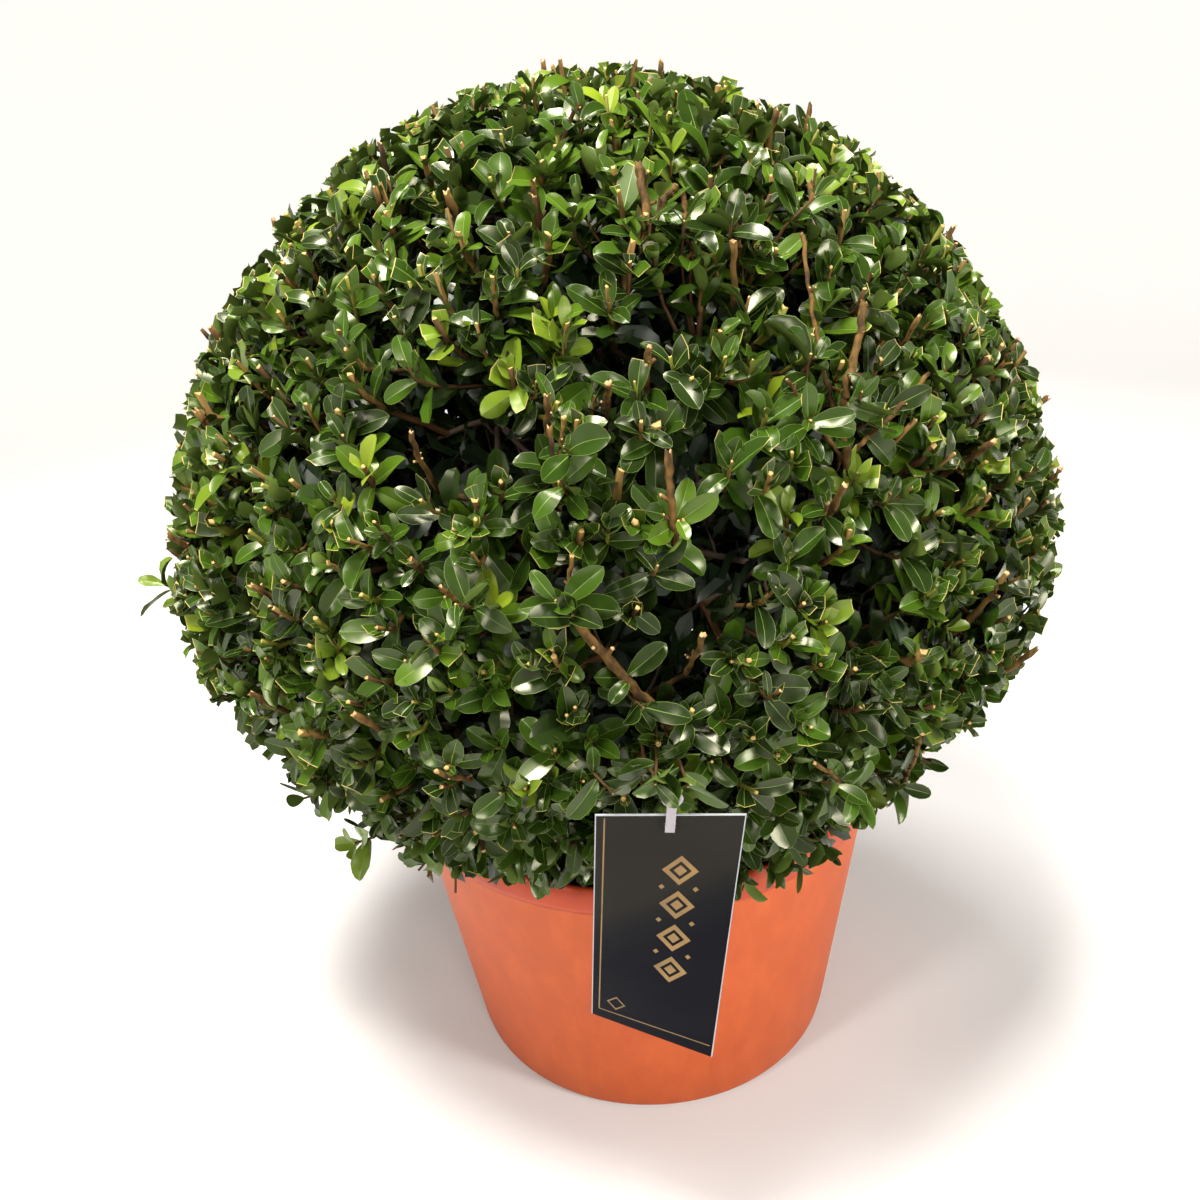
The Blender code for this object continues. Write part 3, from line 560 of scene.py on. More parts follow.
def stem_foot(own):
    return CROWN_CENTRE + own * (HOLLOW_RADIUS - STEM_OUTSIDE)


def stem_head(own):
    return CROWN_CENTRE + own * (HOLLOW_RADIUS + STEM_DEPTH)


def in_hollow(directions, grow=0.0):
    """True for directions inside a dark hollow; grow widens them, in degrees."""
    inside = np.zeros(len(directions), bool)
    for azimuth, elevation, half in DARK_HOLLOWS:
        inside |= directions @ aim_at(azimuth, elevation) > math.cos(math.radians(half + grow))
    return inside


# ---------------------------------------------------------------- twigs as tubes

def side_vectors(axes):
    """Two unit vectors square to each axis, for an array of axes."""
    hint = np.where(np.abs(axes[..., 2:3]) > 0.9, np.array([1.0, 0, 0]), np.array([0, 0, 1.0]))
    side = unit(np.cross(axes, hint))
    return side, np.cross(side, axes)


def tubes(heap, sides, lines, radii, kinds, cap=None, ragged=None):
    """Tubes along lines (N, K, 3). Radii are (N, K), or one foot and one tip for them all.

    kinds (N, K-1) goes by segment, and cap closes the far ends; each may be one number.
    ragged (N, sides + 1) moves the far end's points, the middle one last, along the tube.
    """
    number, steps = lines.shape[:2]
    if np.ndim(radii) == 1:
        radii = np.broadcast_to(np.linspace(*radii, steps), (number, steps))
    ahead = np.concatenate((lines[:, 1:], lines[:, -1:]), 1)
    behind = np.concatenate((lines[:, :1], lines[:, :-1]), 1)
    axes = unit(ahead - behind)
    side, up = side_vectors(axes)
    turn = 2 * math.pi * np.arange(sides) / sides
    ring = (side[:, :, None] * np.cos(turn)[None, None, :, None]
            + up[:, :, None] * np.sin(turn)[None, None, :, None])
    points = lines[:, :, None] + radii[:, :, None, None] * ring
    middle = lines[:, -1:]
    if ragged is not None:
        points[:, -1] += axes[:, -1:] * ragged[:, :-1, None]
        middle = middle + axes[:, -1:] * ragged[:, -1:, None]
    points = points.reshape(number, -1, 3)
    pattern = ring_faces(steps, sides)
    face_kinds = np.repeat(np.broadcast_to(kinds, (number, steps - 1)), sides, 1)
    if cap is not None:
        points = np.concatenate((points, middle), 1)
        pattern += fan_faces(steps * sides, (steps - 1) * sides, sides)
        caps = np.broadcast_to(np.reshape(cap, (-1, 1)), (number, sides))
        face_kinds = np.concatenate((face_kinds, caps), 1)
    heap.add(points, pattern, face_kinds)


def smooth_line(points, steps):
    """A Catmull-Rom line of so many points through the given ones."""
    points = [2 * points[0] - points[1], *points, 2 * points[-1] - points[-2]]
    spans = len(points) - 3
    line = []
    for place in np.linspace(0, spans, steps):
        index = min(int(place), spans - 1)
        t = place - index
        a, b, c, d = points[index:index + 4]
        line.append(b + 0.5 * t * (c - a) + t * t * (a - 2.5 * b + 2 * c - 0.5 * d)
                    + t * t * t * (1.5 * b - 1.5 * c + 0.5 * d - 0.5 * a))
    return np.array(line)


def bezier(start, first, second, end, steps):
    """Cubic lines of so many points, (N, steps, 3), from arrays (N, 3) of their four controls."""
    t = np.linspace(0, 1, steps)[None, :, None]
    return (start[:, None] * (1 - t) ** 3 + 3 * first[:, None] * t * (1 - t) ** 2
            + 3 * second[:, None] * t * t * (1 - t) + end[:, None] * t ** 3)


# ---------------------------------------------------------------- leaves

def half_width(t, width):
    """Half the blade's width at a share t of its length: wedge at the base, rounded at the tip."""
    peak = BASE_POWER / (BASE_POWER + TIP_POWER)
    most = peak ** BASE_POWER * (1 - peak) ** TIP_POWER
    t = np.clip(t, 0, 1)
    return width / 2 * t ** BASE_POWER * (1 - t) ** TIP_POWER / most


class Leaves:
    """Arrays that describe leaves, one row a leaf."""

    FIELDS = ("root", "aim", "face", "length", "width", "fold", "curl", "twist", "wave", "green", "mass")

    def __init__(self, **given):
        for field in self.FIELDS:
            setattr(self, field, given[field])
        self.face = unit(self.face - self.aim * np.sum(self.face * self.aim, -1, keepdims=True))
        self.across = np.cross(self.aim, self.face)

    @classmethod
    def joined(cls, parts):
        return cls(**{field: np.concatenate([getattr(part, field) for part in parts])
                      for field in cls.FIELDS})

    def chosen(self, rows):
        return Leaves(**{field: getattr(self, field)[rows] for field in self.FIELDS})

    def place(self, t, across, lift):
        """Points at share t along the blade, across it and lifted off it: arrays (N, ...)."""
        shape = (-1,) + (1,) * (t.ndim - 1)
        curl = np.where(np.abs(self.curl) < 1e-3, 1e-3, self.curl).reshape(shape)
        length = self.length.reshape(shape)
        bend = curl * t
        along = length * np.sin(bend) / curl
        sink = -length * (1 - np.cos(bend)) / curl
        turn = self.twist.reshape(shape) * t
        ripple = self.wave.reshape(shape) * np.sin(11 * t + 2 * np.sign(across)) * np.abs(across) * 90
        rise = np.abs(across) * np.tan(self.fold.reshape(shape)) + lift + ripple
        aim, face, side = (vector.reshape(-1, *(1,) * (t.ndim - 1), 3)
                           for vector in (self.aim, self.face, self.across))
        normal = face * np.cos(bend)[..., None] + aim * np.sin(bend)[..., None]
        cos, sin = np.cos(turn)[..., None], np.sin(turn)[..., None]
        here_side = side * cos + normal * sin
        here_up = normal * cos - side * sin
        root = self.root.reshape(-1, *(1,) * (t.ndim - 1), 3)
        return (root + aim * along[..., None] + face * sink[..., None]
                + here_side * across[..., None] + here_up * rise[..., None])

    def on_rib(self, share, lift=0.0):
        """The points (N, 1, 3) at a share of the length in the middle of the blade."""
        zero = np.zeros((len(self.length), 1))
        return self.place(zero + share, zero, zero + lift)


def leaf_pattern(columns, rows, first, tip, flip):
    """Triangles of one side: a fan at the root, the rows, and a fan at the tip where there is one.

    Also the column that each triangle lies in. The rows' diagonals mirror each other
    across the midrib, and are the same on both sides of the leaf.
    """
    root, start = first, first + 1
    faces = [(root, start + column + 1, start + column) for column in range(columns - 1)]
    lanes = list(range(columns - 1))
    for row in range(rows - 1):
        for column in range(columns - 1):
            low = start + row * columns + column
            high = low + columns
            if column < (columns - 1) / 2:
                faces += [(low, low + 1, high + 1), (low, high + 1, high)]
            else:
                faces += [(low, low + 1, high), (low + 1, high + 1, high)]
            lanes += [column, column]
    if tip:
        last = start + (rows - 1) * columns
        faces += [(last + column, last + column + 1, last + columns) for column in range(columns - 1)]
        lanes += list(range(columns - 1))
    if flip:
        faces = [face[::-1] for face in faces]
    return faces, np.array(lanes)


UPPER_SIDE = np.array((-1, -0.02, 0.02, 1))      # columns across: edge, both sides of the midrib, edge
UNDERSIDE_COLUMNS = np.array((-1, 0, 1))
UNDERSIDE_LIFTS = np.array((-EDGE_DEPTH, -BLADE_DEPTH, -EDGE_DEPTH))
PLAIN_COLUMNS = np.array((-1, 0, 0, 1))
RIB_LANE = 1                # between the two middle columns


def leaf_side(leaves, t, columns, grow, lifts):
    """Points (N, rows, columns, 3) of one side, at shares t of the length.

    Columns -1 and 1 lie on the edge, which grow moves out, and the others beside the midrib.
    """
    edge = half_width(t, leaves.width[:, None, None])
    rib = np.minimum(MIDRIB_HALF * (1.25 - t), 0.6 * edge)
    across = np.where(np.abs(columns) == 1, edge + grow, rib) * np.sign(columns)
    return leaves.place(t, across, np.broadcast_to(lifts, t.shape))


def add_blades(heap, leaves, shares, tip):
    """Leaves of an upper side with a midrib, and a slightly wider underside.

    shares(columns) gives where each side's rows lie along the leaf. Without a tip of
    their own, they end in a pale cut edge.
    """
    number = len(leaves.length)
    upper = leaf_side(leaves, shares(UPPER_SIDE), UPPER_SIDE, 0.0, 0.0)
    lower = leaf_side(leaves, shares(UNDERSIDE_COLUMNS), UNDERSIDE_COLUMNS, MARGIN, UNDERSIDE_LIFTS)
    rows = upper.shape[1]
    above = [leaves.on_rib(0.0), upper.reshape(number, -1, 3)]
    below = [leaves.on_rib(0.0, -BLADE_DEPTH), lower.reshape(number, -1, 3)]
    if tip:
        above.append(leaves.on_rib(1.0))
        below.append(leaves.on_rib(1.0 + MARGIN / LEAF_LENGTH, -EDGE_DEPTH))
    faces, lanes = leaf_pattern(4, rows, 0, tip, False)
    kinds = np.where(lanes[None] == RIB_LANE, MIDRIB, leaves.green[:, None])
    if not tip:
        kinds[:, -6:] = CUT      # the last row: three lanes of two triangles
    under_faces, _ = leaf_pattern(3, rows, sum(part.shape[1] for part in above), tip, True)
    kinds = np.concatenate((kinds, np.full((number, len(under_faces)), UNDERSIDE)), 1)
    heap.add(np.concatenate(above + below, 1), faces + under_faces, kinds)


def whole_leaves(heap, leaves):
    """Leaves with their own tips."""
    def shares(columns):
        return np.broadcast_to(np.array(STATIONS)[:, None], (len(leaves.length), len(STATIONS), len(columns)))

    add_blades(heap, leaves, shares, True)


def cut_leaves(heap, leaves, cut, slant):
    """Leaves that the shears cut straight across at share cut, slanted from side to side."""
    def shares(columns):
        ends = (cut[:, None] + slant[:, None] * columns)[:, None]
        return np.concatenate((np.array(CUT_STATIONS)[:, None] * ends, ends + CUT_EDGE / LEAF_LENGTH), 1)

    add_blades(heap, leaves, shares, False)


def plain_leaves(heap, leaves, stations):
    """Leaves deep in the crown: one sheet in their own outline, folded sharply along the middle."""
    number = len(leaves.length)
    t = np.broadcast_to(np.array(stations)[:, None], (number, len(stations), len(PLAIN_COLUMNS)))
    across = half_width(t, leaves.width[:, None, None]) * PLAIN_COLUMNS
    sheet = leaves.place(t, across, np.zeros(t.shape))
    points = np.concatenate((leaves.on_rib(0.0), sheet.reshape(number, -1, 3), leaves.on_rib(1.0)), 1)
    faces, lanes = leaf_pattern(len(PLAIN_COLUMNS), len(stations), 0, True, False)
    heap.add(points, [face for face, lane in zip(faces, lanes) if lane != RIB_LANE], leaves.green[:, None])


# ---------------------------------------------------------------- the tag's place

def tag_point(across, down):
    top = TAG_TOP_LEFT.lerp(TAG_TOP_RIGHT, across)
    bottom = TAG_BOTTOM_LEFT.lerp(TAG_BOTTOM_RIGHT, across)
    return top.lerp(bottom, down)


def tag_frame(across, down):
    """The card's frame there: X along its width, Y up it, and Z out of its face."""
    step = 0.01
    width = (tag_point(across + step, down) - tag_point(across - step, down)).normalized()
    drop = (tag_point(across, down + step) - tag_point(across, down - step)).normalized()
    out = drop.cross(width).normalized()
    if out.y > 0:
        out.negate()
    upward = out.cross(width).normalized()
    turn = Matrix((width, upward, out)).transposed().to_4x4()
    return Matrix.Translation(tag_point(across, down)) @ turn


TAG_WIDTH = (TAG_TOP_RIGHT - TAG_TOP_LEFT).length
TAG_HEIGHT = (TAG_BOTTOM_LEFT - TAG_TOP_LEFT).length


# ---------------------------------------------------------------- what leaves keep off

def hides_tag(points):
    """True for leaves (N, P, 3) that would cross the card or stand between it and the camera."""
    to_card = tag_frame(0.5, 0.5).inverted()
    spots = [tag_point(across, down) for across, down in ((0, 0), (1, 0), (1, 1), (0, 1))]
    corners = np.array([list(to_card @ spot) for spot in spots])
    to_card = np.array(to_card)
    local = points @ to_card[:3, :3].T + to_card[:3, 3]
    eye = to_card[:3, :3] @ EYE + to_card[:3, 3]
    share = eye[2] / np.maximum(eye[2] - local[..., 2], 1e-6)     # where the ray meets the card's plane
    crossing = eye + (local - eye) * share[..., None]
    low, high = corners.min(0) - 0.001, corners.max(0) + 0.001
    within = ((crossing[..., 0] > low[0]) & (crossing[..., 0] < high[0])
              & (crossing[..., 1] > low[1] + 0.004) & (crossing[..., 1] < high[1] - 0.001))
    strap = (to_card @ np.array([*tag_point(0.5, 0), 1]))[0]
    over_top = (crossing[..., 1] > high[1] - TOP_OVERLAP) & (abs(crossing[..., 0] - strap) > STRAP_FREE)
    in_the_way = (local[..., 2] > -CARD_FREE) & (~over_top | (local[..., 2] < 0.002))
    return (within & in_the_way).any(1)


def meets_pot(points):
    """True for leaves (N, P, 3) with a point in the pot's wall or rim."""
    reach = np.hypot(points[..., 0], points[..., 1])
    low = points[..., 2] < CREASE_HEIGHT + RIM_HEIGHT + 0.0015
    return (low & (reach < CREASE_RADIUS + RIM_BULGE + 0.0015)).any(1)


def behind_surface(azimuth, elevation, sink):
    """A point a sink (mm) behind the clipped surface, along the line of sight from the front."""
    aim = aim_at(azimuth, elevation)
    place = CENTRE + aim * outline(aim)
    return place + unit(place - EYE) * sink / 1000


def hides_twigs(points, lines):
    """True for leaves (N, P, 3) that cross the bare twigs or stand between them and the front.

    lines holds each twig's points and how far leaves keep off them.
    """
    hidden = np.zeros(len(points), bool)
    for line, free in lines:
        middle = line.mean(0)
        reach = np.linalg.norm(line - middle, axis=1).max() + 0.05
        near = np.flatnonzero(np.linalg.norm(points[:, 0] - middle, axis=1) < reach)
        sight = points[near] - EYE
        far = np.linalg.norm(sight, axis=-1)
        sight = sight / far[..., None]
        for spot in line:
            to_spot = spot - EYE
            along = sight @ to_spot
            aside = np.linalg.norm(to_spot - sight * along[..., None], axis=-1)
            crosses = (aside < free) & (far < along + 0.003) & (far > along - 0.06)
            hidden[near[crosses.any(1)]] = True
    return hidden


def clear_of_stubs(points, lines):
    """True for leaves (N, P, 3) that keep off the thick cut twigs (K, steps, 3)."""
    free = np.ones(len(points), bool)
    for line in lines:
        near = np.flatnonzero(np.linalg.norm(points[:, 0] - line[-1], axis=1) < 0.06)
        gap = np.linalg.norm(points[near][:, :, None] - line[None, None], axis=-1)
        free[near[(gap < STUB_FREE).any((1, 2))]] = False
    return free


def uneven(directions):
    """How far the clipped surface stands off the even outline."""
    return np.array([sum(noise.noise(Vector(aim) * scale) * height for scale, height in SURFACE_WAVES)
                     for aim in directions]) - SURFACE_SINK


def hangs_low(points, rng):
    """True for leaves (N, P, 3) that hang lower over the rim than the foliage does there."""
    turn = np.arctan2(points[:, 0, 1], points[:, 0, 0])
    lobe = np.clip(np.sin(HANG_LOBES * turn + HANG_TURN), 0, 1) ** 2
    limit = HANG_HEIGHT - HANG_DROP * lobe + rng.normal(0, HANG_SPREAD, len(turn))
    reach = np.hypot(points[..., 0], points[..., 1])
    past_rim = np.clip(reach - CREASE_RADIUS, 0, None) * HANG_SLOPE * (1 - 0.5 * lobe[:, None])
    return (points[..., 2] < limit[:, None] + past_rim).any(1)


# ---------------------------------------------------------------- growing the crown

def apart(tips, masses, seats, seat_masses):
    """Distances (N, K) from tips to seats, where a seat of another mass counts as far off."""
    far_off = 9 * (masses[:, None] != seat_masses[None])
    return np.linalg.norm(tips[:, None] - seats[None], axis=2) + far_off


def low_down(directions):
    """0 for directions at the ball's middle and above it, up to 1 well below it."""
    return np.clip(-3.2 * directions[:, 2] - 0.1, 0, 1)


def shears_meet(leaves, shear):
    """Share of each leaf's length at which the shears cross it, and how far that slants to each side."""
    grid = np.linspace(0.2, 1.08, 12)
    t = np.broadcast_to(grid, (len(leaves.length), len(grid)))

    def meeting(sign):
        across = half_width(np.full_like(t, WIDEST), leaves.width[:, None]) * 0.8 * sign
        over = past_outline(leaves.place(t, across, t * 0)) - shear[:, None]
        crossed = over > 0
        first = np.argmax(crossed, 1)
        rows = np.arange(len(t))
        before = np.maximum(first - 1, 0)
        low, high = over[rows, before], over[rows, first]
        share = np.clip(-low / np.maximum(high - low, 1e-9), 0, 1)
        where = grid[before] + (grid[first] - grid[before]) * share
        return np.where(crossed.any(1), where, 1.3)

    left, straight, right = meeting(-1), meeting(0), meeting(1)
    slant = (np.minimum(right, 1.15) - np.minimum(left, 1.15)) / 2
    return straight, np.clip(slant, -0.30, 0.30)


class Crown:
    """All twigs and leaves, as one pair of heaps a mass, and one heap of thick old twigs."""

    def __init__(self, rng):
        self.rng = rng
        self.leaf_heaps = [Heap() for _ in MASS_NAMES]
        self.twig_heaps = [Heap() for _ in MASS_NAMES]
        self.old_twigs = Heap()
        self.shown, self.stub_lines, self.covers = [], [], []
        self.grow_branchlets(*self.grow_limbs())
        self.grow_shown_twigs()
        self.grow_stubs()
        self.grow_outer_shoots()
        self.grow_inner_shoots()
        self.grow_skirt()
        self.grow_covers()
        self.grow_strays()
        self.grow_bed()

    # limbs and branchlets

    def grow_limbs(self):
        """The stem and four limbs of each mass; returns the limbs' ends and masses."""
        tips, masses = [], []
        shares = np.linspace(0, 1, LIMB_STEPS)
        for mass, own in enumerate(MASSES.values()):
            foot, head = stem_foot(own), stem_head(own)
            stem = [list(foot.lerp(head, share)) for share in shares]
            tubes(self.twig_heaps[mass], 8, np.array([stem]), STEM_RADII, TWIG_GREY)
            start = head - own * LIMB_SEAT
            for end in limb_ends(own):
                bow = Vector(self.rng.normal(0, LIMB_BOW, 3))
                limb = [list(start.lerp(end, share) + bow * math.sin(math.pi * share)) for share in shares]
                tubes(self.twig_heaps[mass], 7, np.array([limb]), LIMB_RADII, TWIG_GREY)
                tips.append(list(end))
                masses.append(mass)
        return np.array(tips), np.array(masses)

    def grow_branchlets(self, limb_tips, limb_masses):
        """Branchlets from the nearest limb end of their own mass, which seat the shoots."""
        aims = uneven_directions(BRANCHLETS, 0.03, self.rng)
        aims = aims[aims[:, 2] > math.sin(LOWEST_BRANCHLET)]
        masses = mass_of(aims)
        share = self.rng.uniform(BRANCHLET_SHARE - 0.03, BRANCHLET_SHARE + 0.02, (len(aims), 1))
        tips = CENTRE + aims * outline(aims)[:, None] * share
        tips[:, 2] = np.maximum(tips[:, 2], CROWN_FOOT + 0.012)
        feet = limb_tips[np.argmin(apart(tips, masses, limb_tips, limb_masses), 1)]
        middle = (feet + tips) / 2
        middle += self.rng.normal(0, LIMB_BOW, middle.shape)
        lines = bezier(feet, feet + unit(feet - CENTRE) * 0.012, middle, tips, LIMB_STEPS)
        self.deal_twigs(masses, 5, lines, BRANCHLET_RADII, TWIG_GREY)
        outer = lines[:, 2:]
        self.seats, self.seat_masses = outer.reshape(-1, 3), np.repeat(masses, outer.shape[1])

    # what all shoots share

    def shoots(self, aims, tips, lift, steps):
        """Masses and lines of shoots that leave the branchlets near their tips and turn up by lift."""
        masses = mass_of(aims)
        gap = apart(tips, masses, self.seats, self.seat_masses)
        gap += self.rng.uniform(0, 0.012, gap.shape)
        feet = self.seats[np.argmin(gap, 1)]
        lean = np.array([0, 0, 1.0]) * np.reshape(lift, (-1, 1)) + self.rng.normal(0, 0.32, aims.shape)
        end_aim = unit(aims + lean)
        span = np.linalg.norm(tips - feet, axis=1, keepdims=True)
        first = feet + unit(tips - feet + aims * 0.02) * span * 0.35
        return masses, bezier(feet, first, tips - end_aim * span * 0.42, tips, steps)

    def deal_twigs(self, masses, sides, *given):
        """Adds tubes to the heaps of their masses; what is given may be one value or an array of them."""
        for mass, heap in enumerate(self.twig_heaps):
            rows = masses == mass
            if rows.any():
                tubes(heap, sides, *(part[rows] if isinstance(part, np.ndarray) else part for part in given))

    def deal_leaves(self, leaves, kept, make, each=(), **more):
        """Adds the kept leaves to the heaps of their masses; each holds arrays of one value a leaf."""
        for mass, heap in enumerate(self.leaf_heaps):
            rows = (leaves.mass == mass) & kept
            if rows.any():
                make(heap, leaves.chosen(rows), *(part[rows] for part in each), **more)

    def leaf_rows(self, lines, masses, sprays, starts, plan, first=0.0, old_from=None):
        """One leaf for each shoot at each step of the plan, from first below its tip.

        sprays is each shoot's green, and from old_from on the leaves are old or deep green.
        """
        rng, count = self.rng, len(lines)
        rows = np.arange(count)
        reach = np.linalg.norm(np.diff(lines, axis=1), axis=2)
        down = np.concatenate((np.zeros((count, 1)), np.cumsum(reach[:, ::-1], 1)), 1)   # from the tip
        back = lines[:, ::-1]
        found = []
        for index, (step, tilt_degrees, scale) in enumerate(plan):
            want = np.zeros(count) + first + step
            segment = np.clip((down <= want[:, None]).sum(1) - 1, 0, lines.shape[1] - 2)
            near, far = back[rows, segment], back[rows, segment + 1]
            start = down[rows, segment]
            length = np.maximum(down[rows, segment + 1] - start, 1e-6)
            share = np.clip((want - start) / length, 0, 1)[:, None]
            seat = near * (1 - share) + far * share
            axis = unit(near - far)
            side, up = side_vectors(axis)
            turn = (starts + index * GOLDEN_ANGLE + rng.normal(0, TURN_SPREAD, count))[:, None]
            spread = side * np.cos(turn) + up * np.sin(turn)
            tilt = np.radians(rng.normal(tilt_degrees, TILT_SPREAD, count))[:, None]
            light = unit(unit(seat - CENTRE) * 0.75 + np.array([0, 0, 0.65]))
            aim = unit(axis * np.cos(tilt) + spread * np.sin(tilt) + light * 0.12)
            face = unit(axis * np.sin(tilt) - spread * np.cos(tilt) + light * FACE_TO_LIGHT
                        + np.cross(aim, axis) * rng.normal(0, 0.38, (count, 1)))
            size = scale * np.clip(rng.normal(1, SIZE_SPREAD, count), *SIZE_LIMITS)
            green = sprays.copy()
            if index >= YOUNG_LEAVES:
                green[green == YOUNG] = YOUNG - 2
            if old_from is not None and index >= old_from:
                green = np.where(rng.random(count) < 0.5, OLD, 0)
            made = Leaves(
                root=seat, aim=aim, face=face, length=LEAF_LENGTH * size,
                width=LEAF_WIDTH * size * rng.normal(1, 0.09, count),
                fold=np.radians(rng.normal(*LEAF_FOLD, count)), curl=rng.normal(*LEAF_CURL, count),
                twist=rng.normal(0, LEAF_TWIST, count), wave=rng.normal(0, LEAF_WAVE, count),
                green=green, mass=masses)
            found.append(made.chosen(want < down[:, -1]))
        return found

    def clear(self, leaves, reach=1.0):
        """Rows whose leaves, up to a share of their length, meet neither the pot nor what shows."""
        t = np.array((0.25, 0.5, 0.75, 1.0)) * np.broadcast_to(reach, len(leaves.length))[:, None]
        middle = leaves.place(t, t * 0, t * 0)
        edge = half_width(np.full_like(t[:, :1], WIDEST), leaves.width[:, None])
        sides = leaves.place(t[:, 1:2], edge, edge * 0), leaves.place(t[:, 1:2], -edge, edge * 0)
        points = np.concatenate((middle, *sides), 1)
        blocked = meets_pot(points) | hides_tag(points) | hides_twigs(points, self.shown)
        blocked |= hangs_low(points, self.rng)
        return ~blocked & clear_of_stubs(points, self.stub_lines)

    def grow_leaves(self, lines, masses, sprays, plan, make, **more):
        """Leaves by a plan on shoots, as far as they are clear."""
        starts = self.rng.uniform(0, 6.28, len(lines))
        leaves = Leaves.joined(self.leaf_rows(lines, masses, sprays, starts, plan))
        self.deal_leaves(leaves, self.clear(leaves), make, **more)

    # thick twigs

    def thick_twig(self, points, foot_radius, tip_radius, steps):
        """An old twig through the points from the nearest branchlet, with a ragged cut and a few nubs."""
        rng = self.rng
        line = smooth_line(points, steps)
        seat = self.seats[np.argmin(np.linalg.norm(self.seats - line[0], axis=1))]
        whole = np.concatenate((smooth_line([seat, (seat + line[0]) / 2, line[0]], 4)[:-1], line))
        whole[1:-1] += rng.normal(0, 0.0004, whole[1:-1].shape)
        radii = np.concatenate((np.full(3, foot_radius), np.linspace(foot_radius, tip_radius, steps)))
        radii = radii * (1 + 0.18 * np.maximum(np.sin(np.arange(len(whole)) * 1.9 + rng.uniform(0, 6)), 0))
        radii *= rng.normal(1, 0.07, len(whole))
        radii[-2] *= 1.15
        ragged = rng.uniform(-0.8, 1.6, (1, OLD_TWIG_SIDES + 1)) * tip_radius
        tubes(self.old_twigs, OLD_TWIG_SIDES, whole[None], radii[None], OLD_BARK, OLD_WOOD, ragged)
        for place in rng.uniform(0.35, 0.97, rng.integers(1, 4)):      # nubs of cut side twigs
            index = int(4 + place * (len(whole) - 6))
            along = unit(whole[index + 1] - whole[index - 1])
            aside = unit(np.cross(along, rng.normal(0, 1, 3)))
            rise = unit(aside + along * rng.uniform(0.3, 1.2))
            nub = whole[index] + rise * np.array([[0.3], [1.2], [1.9 + rng.uniform(0, 1.6)]]) * radii[index]
            thin = radii[index] * rng.uniform(0.35, 0.6) * np.array([1.2, 1.0, 0.95])
            tubes(self.old_twigs, NUB_SIDES, nub[None], thin[None], OLD_BARK, OLD_WOOD,
                  rng.uniform(-0.5, 0.9, (1, NUB_SIDES + 1)) * thin[-1])
        return line

    def grow_shown_twigs(self):
        """The bare cut twigs that show at the front, and where sprays cover their feet."""
        for points, foot_radius, tip_radius in VISIBLE_TWIGS:
            points = [behind_surface(*point) for point in points]
            line = self.thick_twig(points, foot_radius * SLENDER, tip_radius * SLENDER, 6 * len(points))
            bare_from = int(len(line) * TWIG_COVER)
            self.shown.append((line[bare_from:], tip_radius * SLENDER * 0.8))
            self.covers += [line[bare_from] + place for place in self.rng.normal(0, 0.004, (2, 3))]

    def grow_stubs(self):
        """Thick old twigs all round, cut just past the clipped surface."""
        rng = self.rng
        aims = uneven_directions(STUBS * 2, 0.10, rng)
        for aim in aims[aims[:, 2] > math.sin(LOWEST_STUB)][:STUBS]:
            tip = CENTRE + aim * (outline(aim) + rng.uniform(0.0005, 0.0035))
            rise = unit(aim + np.array([0, 0, rng.uniform(0.5, 1.3)]) + rng.normal(0, 0.15, 3))
            line = self.thick_twig([tip - rise * 0.048 - aim * 0.006, tip - rise * 0.022, tip],
                                   rng.uniform(0.0013, 0.0021), rng.uniform(0.0011, 0.0018), 9)
            self.stub_lines.append(line[2:])

    # shoots

    def grow_outer_shoots(self):
        """Shoots out to the clipped surface, most of them cut there, with the leaves that show."""
        rng = self.rng
        aims = uneven_directions(SHOOTS, SHOOT_JITTER, rng)
        kept = (aims[:, 2] > math.sin(LOWEST_SHOOT)) & ~in_hollow(aims) & (rng.random(len(aims)) > BARE_SHARE)
        aims = aims[kept]
        aims = aims[(CENTRE + aims * outline(aims)[:, None])[:, 2] > CROWN_FOOT - 0.006]
        number = len(aims)
        is_cut = rng.random(number) < CUT_SHARE * np.clip(0.90 + aims[:, 2], 0.15, 1.12)
        shear = uneven(aims) + rng.normal(-0.0008, 0.0014, number)
        patches = np.array([noise.noise(Vector(aim) * 8.0 + Vector((7, 3, 1))) for aim in aims])
        depth = np.where(is_cut, rng.uniform(-0.0025, 0.0045, number), rng.uniform(0.007, 0.016, number))
        depth = depth - shear + np.where(is_cut, 0, np.clip(patches * 2.2, 0, 1) * 0.008)
        depth += SINK_BELOW * low_down(aims)
        lift = LIFT * np.clip(0.62 + 1.1 * aims[:, 2], 0.02, 1.25)
        tips = CENTRE + aims * (outline(aims) - depth)[:, None]
        masses, lines = self.shoots(aims, tips, lift, SHOOT_STEPS)
        kept = ~hangs_low(lines, rng)
        aims, masses, lines, is_cut = aims[kept], masses[kept], lines[kept], is_cut[kept]
        self.dress_outer_shoots(masses, lines, is_cut)

        number = len(aims)
        sprays = self.spray_greens(aims)
        starts = rng.uniform(0, 2 * math.pi, number)
        first = np.where(is_cut, rng.uniform(0.0015, 0.0085, number), 0.0004)
        found = self.leaf_rows(lines, masses, sprays, starts, OUTER_LEAVES, first, OLD_FROM)
        self.shear_leaves(Leaves.joined(found[:DETAILED_LEAVES]))
        hidden = Leaves.joined(found[DETAILED_LEAVES:])
        kept = [(hidden.mass == mass) & self.clear(hidden) for mass in range(len(MASS_NAMES))]
        self.deal_leaves(hidden, np.any(kept, 0), plain_leaves, stations=(0.22, 0.58, 0.88))

